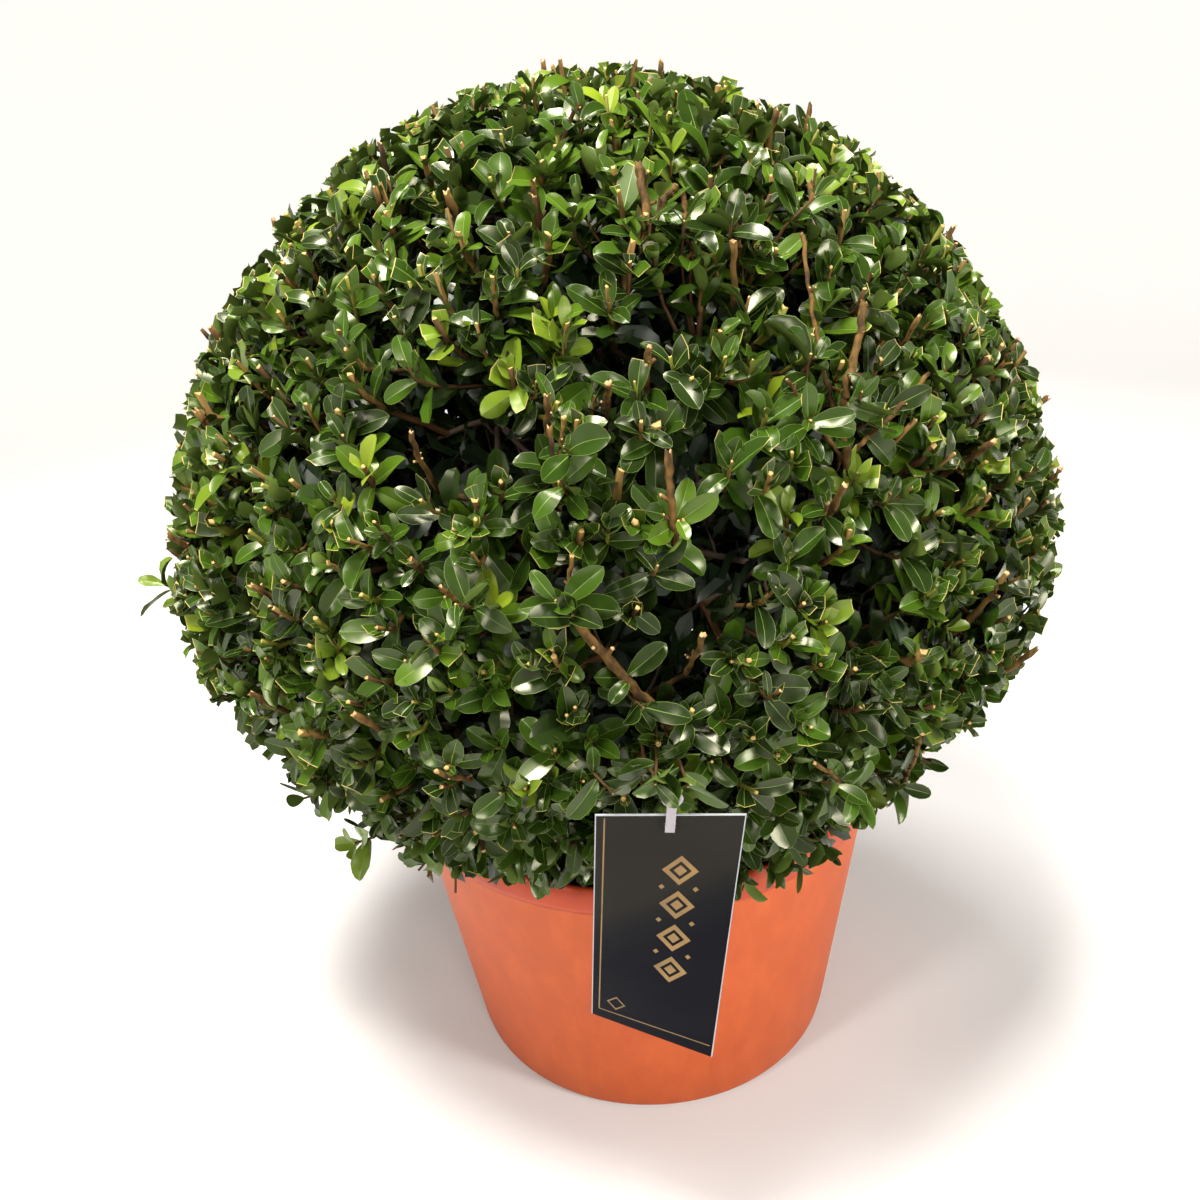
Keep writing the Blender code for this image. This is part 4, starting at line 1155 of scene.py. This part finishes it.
    def dress_outer_shoots(self, masses, lines, is_cut):
        """The outer shoots' tubes, brown below and greener near the tip."""
        rng, number = self.rng, len(lines)
        kinds = np.full((number, SHOOT_STEPS - 1), TWIG_BROWN)
        kinds[:, 3:] = rng.choice((TWIG_GREEN, TWIG_TAN, TWIG_BROWN), number, p=(0.30, 0.45, 0.25))[:, None]
        thick = rng.lognormal(0, 0.26, number)[:, None] * np.where(is_cut, 1.18, 0.85)[:, None]
        radii = np.linspace(*SHOOT_RADII, SHOOT_STEPS)[None] * thick
        radii[:, 4] *= rng.uniform(0.95, 1.3, number)
        cap = np.where(is_cut, TWIG_CUT, TWIG_GREEN)
        ragged = rng.uniform(-0.5, 1.0, (number, 6)) * radii[:, -1:] * np.where(is_cut, 1, 0.3)[:, None]
        self.deal_twigs(masses, 5, lines, radii, kinds, cap, ragged)

    def spray_greens(self, aims):
        """Each shoot's green: fresher towards the top, and young where the photo has young sprays."""
        weights = np.array([share for _, _, share in GREENS.values()])
        green = self.rng.choice(len(GREENS), len(aims), p=weights / weights.sum())
        fresher = (self.rng.random(len(aims)) < 0.30 * np.clip(aims[:, 2], 0, 1)) & (green < 3)
        green = np.where(fresher, green + 1, green)
        for azimuth, elevation in YOUNG_SPRAYS:
            green[np.argmax(aims @ aim_at(azimuth, elevation))] = YOUNG
        return green

    def shear_leaves(self, leaves):
        """Leaves whole inside the clipped surface, cut where they pass it, and gone where little is left."""
        facing = unit(leaves.root - CENTRE)
        shear = uneven(facing) + self.rng.normal(0.0008, 0.0020, len(facing))
        shear += WHOLE_BELOW * low_down(facing)
        straight, slant = shears_meet(leaves, shear)
        is_whole = straight > LEAST_CUT_OFF
        free = self.clear(leaves, np.where(is_whole, 1.0, straight))
        cut = np.clip(straight, LEAST_LEFT, LEAST_CUT_OFF)
        limit = np.minimum(0.97 - cut, cut - 0.15)
        self.deal_leaves(leaves, is_whole & free, whole_leaves)
        self.deal_leaves(leaves, ~is_whole & (straight >= LEAST_LEFT) & free, cut_leaves,
                         each=(cut, np.clip(slant, -limit, limit)))

    def plain_sprays(self, aims, tips, lift, old_share, plan):
        """Hidden shoots with plain leaves, old ones among them."""
        masses, lines = self.shoots(aims, tips, lift, 4)
        self.deal_twigs(masses, 3, lines, INNER_RADII, TWIG_GREY, TWIG_BROWN)
        sprays = np.where(self.rng.random(len(lines)) < old_share, OLD, 0)
        self.grow_leaves(lines, masses, sprays, plan, plain_leaves, stations=(0.30, 0.78))

    def grow_inner_shoots(self):
        """Shoots that close the crown's depth."""
        aims = uneven_directions(INNER_SHOOTS, 0.03, self.rng)
        aims = aims[aims[:, 2] > math.sin(LOWEST_BRANCHLET)]
        share = self.rng.uniform(0.62, 0.86, len(aims))
        share = np.where(in_hollow(aims, 1.5), np.minimum(share, 0.74), share)
        tips = CENTRE + aims * (outline(aims) * share)[:, None]
        good = tips[:, 2] > CROWN_FOOT + 0.004
        self.plain_sprays(aims[good], tips[good], 0.2, 0.45, INNER_LEAVES)

    def placed_sprays(self, tips, lift, shares):
        """Whole leaves on shoots that end at given places, in greens by their shares."""
        masses, lines = self.shoots(unit(tips - CENTRE), tips, lift, 5)
        good = ~(meets_pot(lines) | hides_tag(lines) | hangs_low(lines, self.rng))
        masses, lines = masses[good], lines[good]
        self.deal_twigs(masses, 5, lines, INNER_RADII, TWIG_BROWN, TWIG_CUT)
        sprays = self.rng.choice(len(GREENS), len(lines), p=shares)
        self.grow_leaves(lines, masses, sprays, PLACED_LEAVES, whole_leaves)

    def grow_skirt(self):
        """Low shoots all round, that reach out over the rim and hang a little."""
        rng = self.rng
        turn = 2 * math.pi * (np.arange(SKIRT_SHOOTS) + rng.uniform(0, 1, SKIRT_SHOOTS)) / SKIRT_SHOOTS
        reach = rng.uniform(0.190, 0.214, SKIRT_SHOOTS)
        height = CROWN_FOOT + rng.uniform(-0.010, 0.012, SKIRT_SHOOTS)
        self.placed_sprays(round_foot(turn, reach, height), -0.25, COVER_GREENS)

    def grow_covers(self):
        """Sprays in front of the bare twigs' feet and of the tie's eye."""
        tips = np.array(self.covers)
        sight = unit(EYE - tips)
        tips = tips + sight * self.rng.uniform(0.004, 0.012, (len(tips), 1))
        self.placed_sprays(tips, 0.3, COVER_GREENS)
        self.placed_sprays(np.array(TIE_COVER), -0.2, (0.2, 0.5, 0.3, 0, 0, 0))

    def grow_strays(self):
        """Sprays that grew out again."""
        aims = np.array([aim_at(azimuth, elevation) for azimuth, elevation in STRAYS])
        tips = CENTRE + aims * (outline(aims) + STRAY_REACH)[:, None]
        self.placed_sprays(tips, 1.0, (0, 0, 0.3, 0.3, 0.4, 0))

    def grow_bed(self):
        """Leaves across the lower face, so that no light comes up through it."""
        rng = self.rng
        turn = rng.uniform(0, 2 * math.pi, BED_SHOOTS)
        reach = 0.205 * np.sqrt(rng.uniform(0.02, 1, BED_SHOOTS))
        tips = round_foot(turn, reach, CROWN_FOOT + rng.uniform(0.010, 0.034, BED_SHOOTS))
        self.plain_sprays(unit(tips - CENTRE), tips, 0.1, 0.6, BED_LEAVES)


def build_foliage():
    crown = Crown(np.random.default_rng(SEED))
    blades, barks = foliage_materials(), twig_materials()
    for name, leaf_heap, twig_heap in zip(MASS_NAMES, crown.leaf_heaps, crown.twig_heaps):
        short = name.replace("foliage_", "")
        leaves = leaf_heap.object(f"leaves_{short}", blades)
        twigs = twig_heap.object(f"twigs_{short}", barks)
        for piece in (leaves, twigs):
            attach(piece, BODY)
        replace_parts(leaves, name)
    made = crown.old_twigs.object("twigs_old", [
        patterned("old_twig_bark", [srgb(32, 22, 10), srgb(60, 42, 18), srgb(94, 69, 31), srgb(56, 49, 20)],
                  (0.65, 0.85), 130, (1, 1, 0.45), (0.7, 0.0006), Specular_IOR_Level=TWIG_GLOSS),
        patterned("old_twig_wood", [srgb(112, 82, 48), srgb(164, 132, 86), srgb(192, 164, 118)],
                  (0.8, 0.9), 420, relief=(0.6, 0.0005)),
    ])
    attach(made, BODY)


# ---------------------------------------------------------------- pot and soil

POT_TURNS = 160
POT_FOOT = 0.0052           # radius of the wall's rounded lower edge
POT_FLAT = 0.118            # the underside is one sheet up to here
ROLL_STEPS = 20
POT_BODY, POT_CREASE_HIGHLIGHT, POT_RIM_PAINTED_SHADE = range(3)
SOIL_RINGS = 46
SOIL_TURNS = 120
CRUMBS = 700
CRUMB_SIZE = 0.0019


def pot_wall_radius(height):
    return POT_BASE_RADIUS + (POT_WALL_TOP_RADIUS - POT_BASE_RADIUS) * height / CREASE_HEIGHT


def pot_profile():
    """(radius, height, finish) up the outside, over the rolled rim and down inside."""
    points = [(0.0, 0.0, POT_BODY), (POT_FLAT, 0.0, POT_BODY)]
    for angle in np.linspace(0, math.pi / 2, 6):
        points.append((POT_BASE_RADIUS - POT_FOOT * (1 - math.sin(angle)), POT_FOOT * (1 - math.cos(angle)),
                       POT_BODY))
    for share in np.linspace(0.06, 0.965, 14):
        height = CREASE_HEIGHT * share
        points.append((pot_wall_radius(height), height, POT_BODY))
    under = CREASE_HEIGHT - 0.0030
    points += [(pot_wall_radius(under), under, POT_BODY),
               (pot_wall_radius(under) + 0.0011, under + 0.0013, POT_BODY),
               (CREASE_RADIUS + 0.0001, CREASE_HEIGHT - 0.0006, POT_CREASE_HIGHLIGHT),
               (CREASE_RADIUS + 0.0006, CREASE_HEIGHT + 0.0002, POT_RIM_PAINTED_SHADE),
               (CREASE_RADIUS + RIM_BULGE * 0.62, CREASE_HEIGHT + 0.0022, POT_RIM_PAINTED_SHADE),
               (CREASE_RADIUS + RIM_BULGE * 0.88, CREASE_HEIGHT + 0.0040, POT_RIM_PAINTED_SHADE)]
    middle = CREASE_RADIUS + (RIM_BULGE - RIM_INSET) / 2
    half = (RIM_BULGE + RIM_INSET) / 2
    start, rise = CREASE_HEIGHT + 0.006, RIM_HEIGHT - 0.006
    for angle in np.linspace(0, math.pi, ROLL_STEPS + 1):
        points.append((middle + half * math.cos(angle), start + rise * math.sin(angle), POT_RIM_PAINTED_SHADE))
    points.append((CREASE_RADIUS - RIM_INSET - 0.0004, CREASE_HEIGHT - 0.004, POT_RIM_PAINTED_SHADE))
    inside = SOIL_LEVEL - 0.012
    points.append((pot_wall_radius(inside) - POT_WALL * 0.8, inside, POT_BODY))
    return points


def pot_materials():
    body = patterned("pot_body", [srgb(160, 68, 26), srgb(167, 73, 29), srgb(175, 80, 35)],
                     (0.46, 0.58), 64, (1, 1, 0.45), (0.12, 0.0004), Specular_IOR_Level=0.3)
    # Painted shade: the rolled rim's colours are darker and redder than the body's.
    rim = patterned("pot_rim_painted_shade", [srgb(150, 48, 17), srgb(158, 55, 20), srgb(168, 63, 26)],
                    (0.28, 0.38), 20, (1, 1, 2.0), (0.08, 0.0006), Specular_IOR_Level=0.3)
    # Painted highlight: the crease's ridge is painted as a pale pinkish line, broken into dashes by the
    # stretched noise.
    crease = patterned("pot_crease_painted_highlight", [srgb(196, 90, 52), srgb(240, 184, 158)],
                       (0.5, 0.7), 90, (1, 1, 0.2), (0.25, 0.0006))
    return [body, crease, rim]


def turned(heap, profile, turns):
    """A surface turned about the Z axis from (radius, height, finish) points, the first one on the axis."""
    (_, foot, foot_finish), *rings = profile
    points = [ring_points(radius, height, turns) for radius, height, _ in rings] + [[[0, 0, foot]]]
    faces = ring_faces(len(rings), turns, mirrored=True) + fan_faces(len(rings) * turns, 0, turns)
    kinds = [finish for _, _, finish in rings[1:]] + [foot_finish]
    heap.add(np.concatenate(points)[None], faces, np.repeat(kinds, turns))


def build_pot():
    heap = Heap()
    turned(heap, pot_profile(), POT_TURNS)
    pot = heap.object("pot_shell", pot_materials())
    pot.data.set_sharp_from_angle(angle=math.radians(38))
    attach(pot, BODY)
    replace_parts(pot, "pot")


def add_crumbs(heap, edge):
    """Loose lumps of compost and bark on top of the fill."""
    rng = np.random.default_rng(SEED + 1)
    crumb = bmesh.new()
    bmesh.ops.create_icosphere(crumb, subdivisions=1, radius=1)
    shape = np.array([list(vert.co) for vert in crumb.verts])
    faces = [tuple(vert.index for vert in face.verts) for face in crumb.faces]
    crumb.free()
    reach = edge * np.sqrt(rng.random(CRUMBS))
    angle = rng.uniform(0, 2 * math.pi, CRUMBS)
    size = rng.lognormal(math.log(CRUMB_SIZE), 0.4, CRUMBS)
    place = np.stack((reach * np.cos(angle), reach * np.sin(angle), np.full(CRUMBS, SOIL_LEVEL - 0.0038)), -1)
    lumps = shape[None] * rng.uniform(0.6, 1.3, (CRUMBS, len(shape), 1)) * size[:, None, None]
    lumps += place[:, None]
    lumps[..., 2] = np.minimum(lumps[..., 2], SOIL_LEVEL - 0.0002)
    heap.add(lumps, faces, rng.integers(0, 2, CRUMBS)[:, None])


def build_soil():
    """The fill: a crumbly top inside the pot, a little domed where it was pressed round the stem."""
    edge = pot_wall_radius(SOIL_LEVEL) - POT_WALL - 0.0006
    points = []
    for ring in range(SOIL_RINGS):
        reach = edge * (ring + 1) / SOIL_RINGS
        for x, y, _ in ring_points(reach, 0, SOIL_TURNS):
            place = Vector((x, y, 0))
            rough = noise.noise(place * 55) * 0.0022 + noise.noise(place * 190) * 0.0016
            points.append((x, y, SOIL_LEVEL - 0.0042 + rough + 0.0016 * math.cos(reach * 18)))
    points = np.concatenate((points, ring_points(edge * 0.985, SOIL_LEVEL - 0.013, SOIL_TURNS),
                             [(0, 0, SOIL_LEVEL - 0.003)]))
    heap = Heap()
    heap.add(points[None], ring_faces(SOIL_RINGS + 1, SOIL_TURNS, mirrored=True)
             + fan_faces(len(points) - 1, 0, SOIL_TURNS, mirrored=True), 0)
    add_crumbs(heap, edge - 0.006)
    soil = heap.object("soil_fill", [
        patterned("compost", [srgb(42, 30, 22), srgb(66, 48, 34), srgb(92, 68, 48)], (0.9, 1.0), 120,
                  relief=(0.8, 0.002)),
        patterned("compost_bark", [srgb(70, 48, 32), srgb(112, 80, 54)], (0.85, 1.0), 200,
                  relief=(0.6, 0.001)),
    ])
    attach(soil, BODY)
    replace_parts(soil, "soil")


# ---------------------------------------------------------------- trunk and boughs

BOUGH_STEPS = 26
TRUNK_STEPS = 44


def bark_material():
    return patterned("bark", [srgb(70, 56, 42), srgb(112, 92, 70), srgb(140, 120, 96)], (0.75, 0.95), 90,
                     (1, 1, 0.3), (0.6, 0.0015), 7)


def bark_tube(name, points, radii, sides, bark, swell=None, flat_ends=False, last=None):
    """A capped limb whose surface carries low ridges and a finer grain."""
    points = [Vector(point) for point in points]
    made = []
    for index, (point, radius) in enumerate(zip(points, radii)):
        ahead, behind = points[min(index + 1, len(points) - 1)], points[max(index - 1, 0)]
        aim = last if last and index == len(points) - 1 else ahead - behind
        side, up = frame_across(aim, Vector((0, 1, 0)))
        for step in range(sides):
            angle = 2 * math.pi * step / sides
            out = side * math.cos(angle) + up * math.sin(angle)
            ridge = noise.noise(Vector((out.x * 3, out.y * 3, point.z * 26 + out.z * 3)))
            grain = noise.noise(Vector((out.x * 11, out.y * 11, point.length * 90)))
            reach = radius * (0.955 + 0.05 * ridge + 0.030 * grain)
            if swell:
                reach *= swell(index, angle)
            spot = point + out * reach
            if flat_ends and index in (0, len(points) - 1):
                spot.z = point.z
            made.append(list(spot))
    foot = len(made)
    made += [list(points[0]), list(points[-1])]
    heap = Heap()
    heap.add(np.array(made)[None], ring_faces(len(points), sides) + fan_faces(foot, 0, sides, mirrored=True)
             + fan_faces(foot + 1, foot - sides, sides), 0)
    limb = heap.object(name, [bark])
    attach(limb, BODY)
    return limb


def trunk_point(share):
    return TRUNK_FOOT.lerp(TRUNK_FORK, share) + TRUNK_BOW * math.sin(math.pi * share)


def trunk_radius(share):
    height = share * (TRUNK_FORK.z - TRUNK_FOOT.z)
    flare = (TRUNK_FLARE_RADIUS - TRUNK_RADIUS) * math.exp(-(height / FLARE_HEIGHT) ** 1.4 * 1.6)
    return TRUNK_RADIUS + (TRUNK_FORK_RADIUS - TRUNK_RADIUS) * share + flare


def build_trunk(bark):
    shares = np.linspace(0, 1, TRUNK_STEPS)

    def lobes(index, angle):
        fade = math.exp(-14 * shares[index])
        return 1 + FLARE_LOBE_SHARE * fade * math.cos(FLARE_LOBES * angle + 0.6)

    trunk = bark_tube("trunk_bark", [trunk_point(share) for share in shares],
                      [trunk_radius(share) for share in shares], 40, bark, lobes, flat_ends=True)
    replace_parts(trunk, "trunk")


def bough_line(own, root_height, steps):
    """Points of the bough that leaves the trunk at a height and carries a mass."""
    share = (root_height - TRUNK_FOOT.z) / (TRUNK_FORK.z - TRUNK_FOOT.z)
    start, end = trunk_point(share), stem_foot(own)
    outward, upward = BOUGH_LEAVING
    first = start + Vector((own.x, own.y, 0)).normalized() * outward + Vector((0, 0, upward))
    controls = (start, first, end - own * BOUGH_ARRIVING, end)
    return bezier(*(np.array([list(control)]) for control in controls), steps)[0]


def build_boughs(bark):
    """The leader, which carries the top, and one bough to each other mass."""
    leader, end = TRUNK_FORK + Vector((0, 0, TOUCH_GAP)), stem_foot(MASSES["foliage_top"])
    line = [leader.lerp(end, t) + LEADER_BOW * math.sin(math.pi * t) for t in np.linspace(0, 1, BOUGH_STEPS)]
    radii = np.linspace(LEADER_ROOT_RADIUS, BOUGH_TIP_RADIUS, BOUGH_STEPS)
    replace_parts(bark_tube("bark_top", line, radii, 20, bark, flat_ends=True), "bough_top")
    radii = np.linspace(BOUGH_ROOT_RADIUS, BOUGH_TIP_RADIUS, BOUGH_STEPS)
    for name, own in list(MASSES.items())[1:]:      # the first is the top, which the leader carries
        height = UPPER_BOUGH_HEIGHT if "upper" in name else LOWER_BOUGH_HEIGHT
        height += BOUGH_STAGGER * (int(name[-1]) % 2 - 0.5)
        line = bough_line(own, height, BOUGH_STEPS)
        limb = bark_tube(name.replace("foliage", "bark"), line, radii, 16, bark, last=own)
        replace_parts(limb, name.replace("foliage", "bough"))


# ---------------------------------------------------------------- tag

CARD_FACE, CARD_EDGE, CARD_BACK = range(3)
CARD_BORDER = 0.0006
HOLE_HALF = (0.0032, 0.0018)
RULE_INSET = 0.0048
RULE_WIDTH = 0.0008
RULE_END = 0.0022           # how far the rules end inside the card's edges
RULE_STEPS = 40
LOZENGE_STEPS = 6           # points along one side of a diamond
LOZENGES = 4                # large ones in the column
LOZENGE_TOP = 0.22          # the first one and the distance to the next, as shares of the card's height
LOZENGE_PITCH = 0.145
PRINT_LIFT = 0.00006


def card_point(right, down, lift):
    """A point on the card from metres right of its left edge and below its top, lifted off its face."""
    place = tag_frame(right / TAG_WIDTH, down / TAG_HEIGHT)
    return list(place @ Vector((0, 0, TAG_THICKNESS / 2 + lift)))


def card_materials():
    face = plain("card_face", srgb(8, 9, 14), 0.24, Specular_IOR_Level=0.02)
    nodes = Nodes(face)
    split = nodes.tree.nodes.new("ShaderNodeSeparateXYZ")
    nodes.link(nodes.place, split.inputs[0])
    slope = nodes.tree.nodes.new("ShaderNodeMath")       # a diagonal across the card
    slope.operation = "MULTIPLY_ADD"
    nodes.link(split.outputs["X"], slope.inputs[0])
    slope.inputs[1].default_value = -0.62
    nodes.link(split.outputs["Z"], slope.inputs[2])
    height = nodes.spread(slope.outputs[0], 0.0, 1.0)
    band = height.node
    band.inputs["From Min"].default_value = 0.285
    band.inputs["From Max"].default_value = 0.330
    soft = nodes.noise(16, 2, 0.4, (1, 1, 3))
    # Painted reflection on the face: lighter warm grey above a soft diagonal across the card, navy below it,
    # broken up by noise.
    painted_sheen = nodes.ramp(height, [(0.0, srgb(12, 13, 21)), (0.5, srgb(21, 21, 24)), (1.0, srgb(38, 36, 32))])
    colour = nodes.blend(nodes.spread(soft, 0.0, 0.5), painted_sheen, srgb(26, 26, 28))
    nodes.link(colour, nodes.shader.inputs["Base Color"])
    edge = patterned("card_edge", [srgb(136, 138, 144), srgb(156, 158, 162)], (0.4, 0.5), 60)
    back = patterned("card_back", [srgb(176, 176, 174), srgb(190, 190, 188)], (0.4, 0.5), 30)
    return [face, edge, back]


def build_card():
    """The twisted card with its punched hole: dark face, pale laminate edge and pale back."""
    middle = TAG_WIDTH / 2
    rights = sorted({0, CARD_BORDER, middle - HOLE_HALF[0], middle + HOLE_HALF[0], TAG_WIDTH - CARD_BORDER,
                     TAG_WIDTH, *np.linspace(0.006, TAG_WIDTH - 0.006, 13).tolist()})
    downs = sorted({0, CARD_BORDER, TAG_HOLE_DROP - HOLE_HALF[1], TAG_HOLE_DROP + HOLE_HALF[1], TAG_HEIGHT,
                    *np.linspace(0.014, TAG_HEIGHT - 0.004, 24).tolist()})
    columns, rows = len(rights), len(downs)
    front = [card_point(right, down, 0) for down in downs for right in rights]
    rear = [card_point(right, down, -TAG_THICKNESS) for down in downs for right in rights]

    def holed(row, column):
        right, down = (rights[column] + rights[column + 1]) / 2, (downs[row] + downs[row + 1]) / 2
        return abs(right - middle) < HOLE_HALF[0] and abs(down - TAG_HOLE_DROP) < HOLE_HALF[1]

    faces, kinds = [], []
    count = columns * rows
    for row in range(rows - 1):
        for column in range(columns - 1):
            if holed(row, column):
                continue
            a = row * columns + column
            b, c, d = a + 1, a + columns + 1, a + columns
            faces += [(d, c, b, a), (count + a, count + b, count + c, count + d)]
            border = row == 0 or column in (0, columns - 2)
            kinds += [CARD_EDGE if border else CARD_FACE, CARD_BACK]
            for start, end, neighbour in ((a, b, (row - 1, column)), (b, c, (row, column + 1)),
                                          (c, d, (row + 1, column)), (d, a, (row, column - 1))):
                outside = not (0 <= neighbour[0] < rows - 1 and 0 <= neighbour[1] < columns - 1)
                if outside or holed(*neighbour):
                    faces.append((start, end, count + end, count + start))
                    kinds.append(CARD_EDGE)
    heap = Heap()
    heap.add(np.array(front + rear)[None], faces, kinds)
    card = heap.object("tag_card", card_materials())
    card.data.set_sharp_from_angle(angle=math.radians(40))
    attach(card, BODY)
    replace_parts(card, "tag")


def ribbon(heap, start, end):
    """A thin printed rule on the card between two (right, down) points."""
    start, end = np.array(start), np.array(end)
    along = (end - start) / np.linalg.norm(end - start)
    side = np.array([-along[1], along[0]]) * RULE_WIDTH / 2
    points = []
    for share in np.linspace(0, 1, RULE_STEPS):
        spot = start + (end - start) * share
        points += [card_point(*(spot - side), PRINT_LIFT), card_point(*(spot + side), PRINT_LIFT)]
    faces = [(low + 2, low + 3, low + 1, low) for low in range(0, len(points) - 2, 2)]
    heap.add(np.array(points)[None], faces, 0)


def lozenge(heap, right, down, half_wide, half_high, hollow=0.0):
    """A plain diamond, or its outline where hollow is the share left open."""
    corners = [(0, -half_high), (half_wide, 0), (0, half_high), (-half_wide, 0)]
    outer, inner = [], []
    for (ax, ay), (bx, by) in zip(corners, corners[1:] + corners[:1]):
        for share in np.linspace(0, 1, LOZENGE_STEPS, endpoint=False):
            x, y = ax + (bx - ax) * share, ay + (by - ay) * share
            outer.append(card_point(right + x, down + y, PRINT_LIFT))
            inner.append(card_point(right + x * hollow, down + y * hollow, PRINT_LIFT))
    count = len(outer)
    if hollow:
        faces = [(a, (a + 1) % count, count + (a + 1) % count, count + a) for a in range(count)]
    else:
        inner = inner[:1]
        faces = fan_faces(count, 0, count, mirrored=True)
    heap.add(np.array(outer + inner)[None], faces, 0)


def build_print():
    """Gold rules along the left and lower edges, and a column of plain diamonds."""
    heap = Heap()
    low = TAG_HEIGHT - RULE_INSET - 0.004
    ribbon(heap, (RULE_INSET, RULE_END), (RULE_INSET, low))
    ribbon(heap, (RULE_INSET, low), (TAG_WIDTH - RULE_END, low))
    column = 0.60 * TAG_WIDTH
    for index in range(LOZENGES):
        down = (LOZENGE_TOP + LOZENGE_PITCH * index) * TAG_HEIGHT
        lozenge(heap, column, down, 0.0098, 0.0112, 0.62)
        lozenge(heap, column, down, 0.0036, 0.0042)
    for index in range(LOZENGES - 1):
        down = (LOZENGE_TOP + LOZENGE_PITCH * (index + 0.5)) * TAG_HEIGHT
        for side in (-1, 1):
            lozenge(heap, column + side * 0.0092, down, 0.0017, 0.0020)
    lozenge(heap, RULE_INSET + 0.0105, low - 0.0105, 0.0058, 0.0066, 0.78)
    gold = patterned("gold_print", [srgb(94, 68, 19), srgb(114, 84, 29), srgb(128, 96, 40)], (0.34, 0.46), 60,
                     relief=(0.05, 0.0003))
    made = heap.object("tag_print", [gold])
    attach(made, BODY)


def finish_tie():
    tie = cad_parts["tag_tie"]
    made = patterned("tie_plastic", [srgb(132, 126, 134), srgb(150, 144, 152)], (0.30, 0.42), 200,
                     relief=(0.08, 0.0003))
    tie.data.materials.clear()
    tie.data.materials.append(made)


# ---------------------------------------------------------------- stage

FLOOR_FLAT = 1.8            # radius of the level floor
FLOOR_SWEEP = 0.9           # radius of the curve round it
FLOOR_RISE = 1.8
FLOOR_TURNS = 96
SWEEP_STEPS = 12
FLOOR_GREY = 0.66
WORLD_STRENGTH = 0.09
WARM_WHITE = (1.0, 0.97, 0.92)
LIGHTS = {                  # place, target, size, power in watts and colour
    "key": ((-0.35, -0.55, 2.2), (0, 0, 0.4), (0.66, 0.46), 85, (1.0, 0.965, 0.90)),
    "front": ((0.35, -1.9, 1.75), (0, 0, 0.35), (0.50, 0.35), 12, WARM_WHITE),
    "left": ((-1.5, -1.5, 1.5), (0, 0, 0.35), (0.35, 0.7), 23, WARM_WHITE),
    "right": ((1.5, -1.1, 0.95), (0, 0, 0.3), (0.40, 0.8), 32, WARM_WHITE),
    "top": ((-0.15, 0.45, 2.2), (0, 0, 0.5), (0.60, 0.35), 38, WARM_WHITE),
}


def build_camera():
    back = Vector((0, -math.cos(-CAMERA_PITCH), math.sin(-CAMERA_PITCH)))
    right = Vector((1, 0, 0))
    up = back.cross(right)
    yaw, pitch, roll = CAMERA_TURN
    turn = (Matrix((right, up, back)).transposed() @ Matrix.Rotation(yaw, 3, "Y")
            @ Matrix.Rotation(pitch, 3, "X") @ Matrix.Rotation(roll, 3, "Z"))
    data = bpy.data.cameras.new("camera")
    data.lens = CAMERA_LENS
    data.sensor_width = 36.0
    data.sensor_fit = "HORIZONTAL"
    data.clip_start = 0.05
    data.clip_end = 60.0
    camera = bpy.data.objects.new("camera", data)
    camera.matrix_world = Matrix.Translation(CAMERA_PLACE) @ turn.to_4x4()
    bpy.context.scene.collection.objects.link(camera)
    bpy.context.scene.camera = camera


def area_light(name, place, target, size, power, colour):
    data = bpy.data.lights.new(name, "AREA")
    data.shape = "RECTANGLE"
    data.size, data.size_y = size
    data.energy = power
    data.color = colour
    light = bpy.data.objects.new(name, data)
    light.location = place
    light.rotation_euler = (Vector(target) - Vector(place)).to_track_quat("-Z", "Y").to_euler()
    bpy.context.scene.collection.objects.link(light)


def build_floor():
    """A pale floor that sweeps up all round."""
    profile = [(FLOOR_FLAT, 0.0)]
    for step in range(1, SWEEP_STEPS + 1):
        angle = math.pi / 2 * step / SWEEP_STEPS
        profile.append((FLOOR_FLAT + FLOOR_SWEEP * math.sin(angle), FLOOR_SWEEP * (1 - math.cos(angle))))
    profile.append((FLOOR_FLAT + FLOOR_SWEEP, FLOOR_RISE))
    points = np.concatenate([ring_points(*ring, FLOOR_TURNS) for ring in profile] + [[(0, 0, 0)]])
    heap = Heap()
    heap.add(points[None], ring_faces(len(profile), FLOOR_TURNS)
             + fan_faces(len(points) - 1, 0, FLOOR_TURNS, mirrored=True), 0)
    floor = heap.object("floor", [plain("floor_paint", (FLOOR_GREY,) * 3 + (1,), 0.9)])


def build_stage():
    """The floor, and soft light from above the front and the back, and lower from three sides."""
    world = bpy.data.worlds.new("world")
    world.use_nodes = True
    background = world.node_tree.nodes["Background"]
    background.inputs["Color"].default_value = (*WARM_WHITE, 1)
    background.inputs["Strength"].default_value = WORLD_STRENGTH
    bpy.context.scene.world = world
    bpy.context.scene.view_settings.view_transform = "Standard"
    build_floor()
    for name, light in LIGHTS.items():
        area_light(name, *light)


build_stage()
build_camera()
build_pot()
build_soil()
bark = bark_material()
build_trunk(bark)
build_boughs(bark)
build_foliage()
build_card()
build_print()
finish_tie()
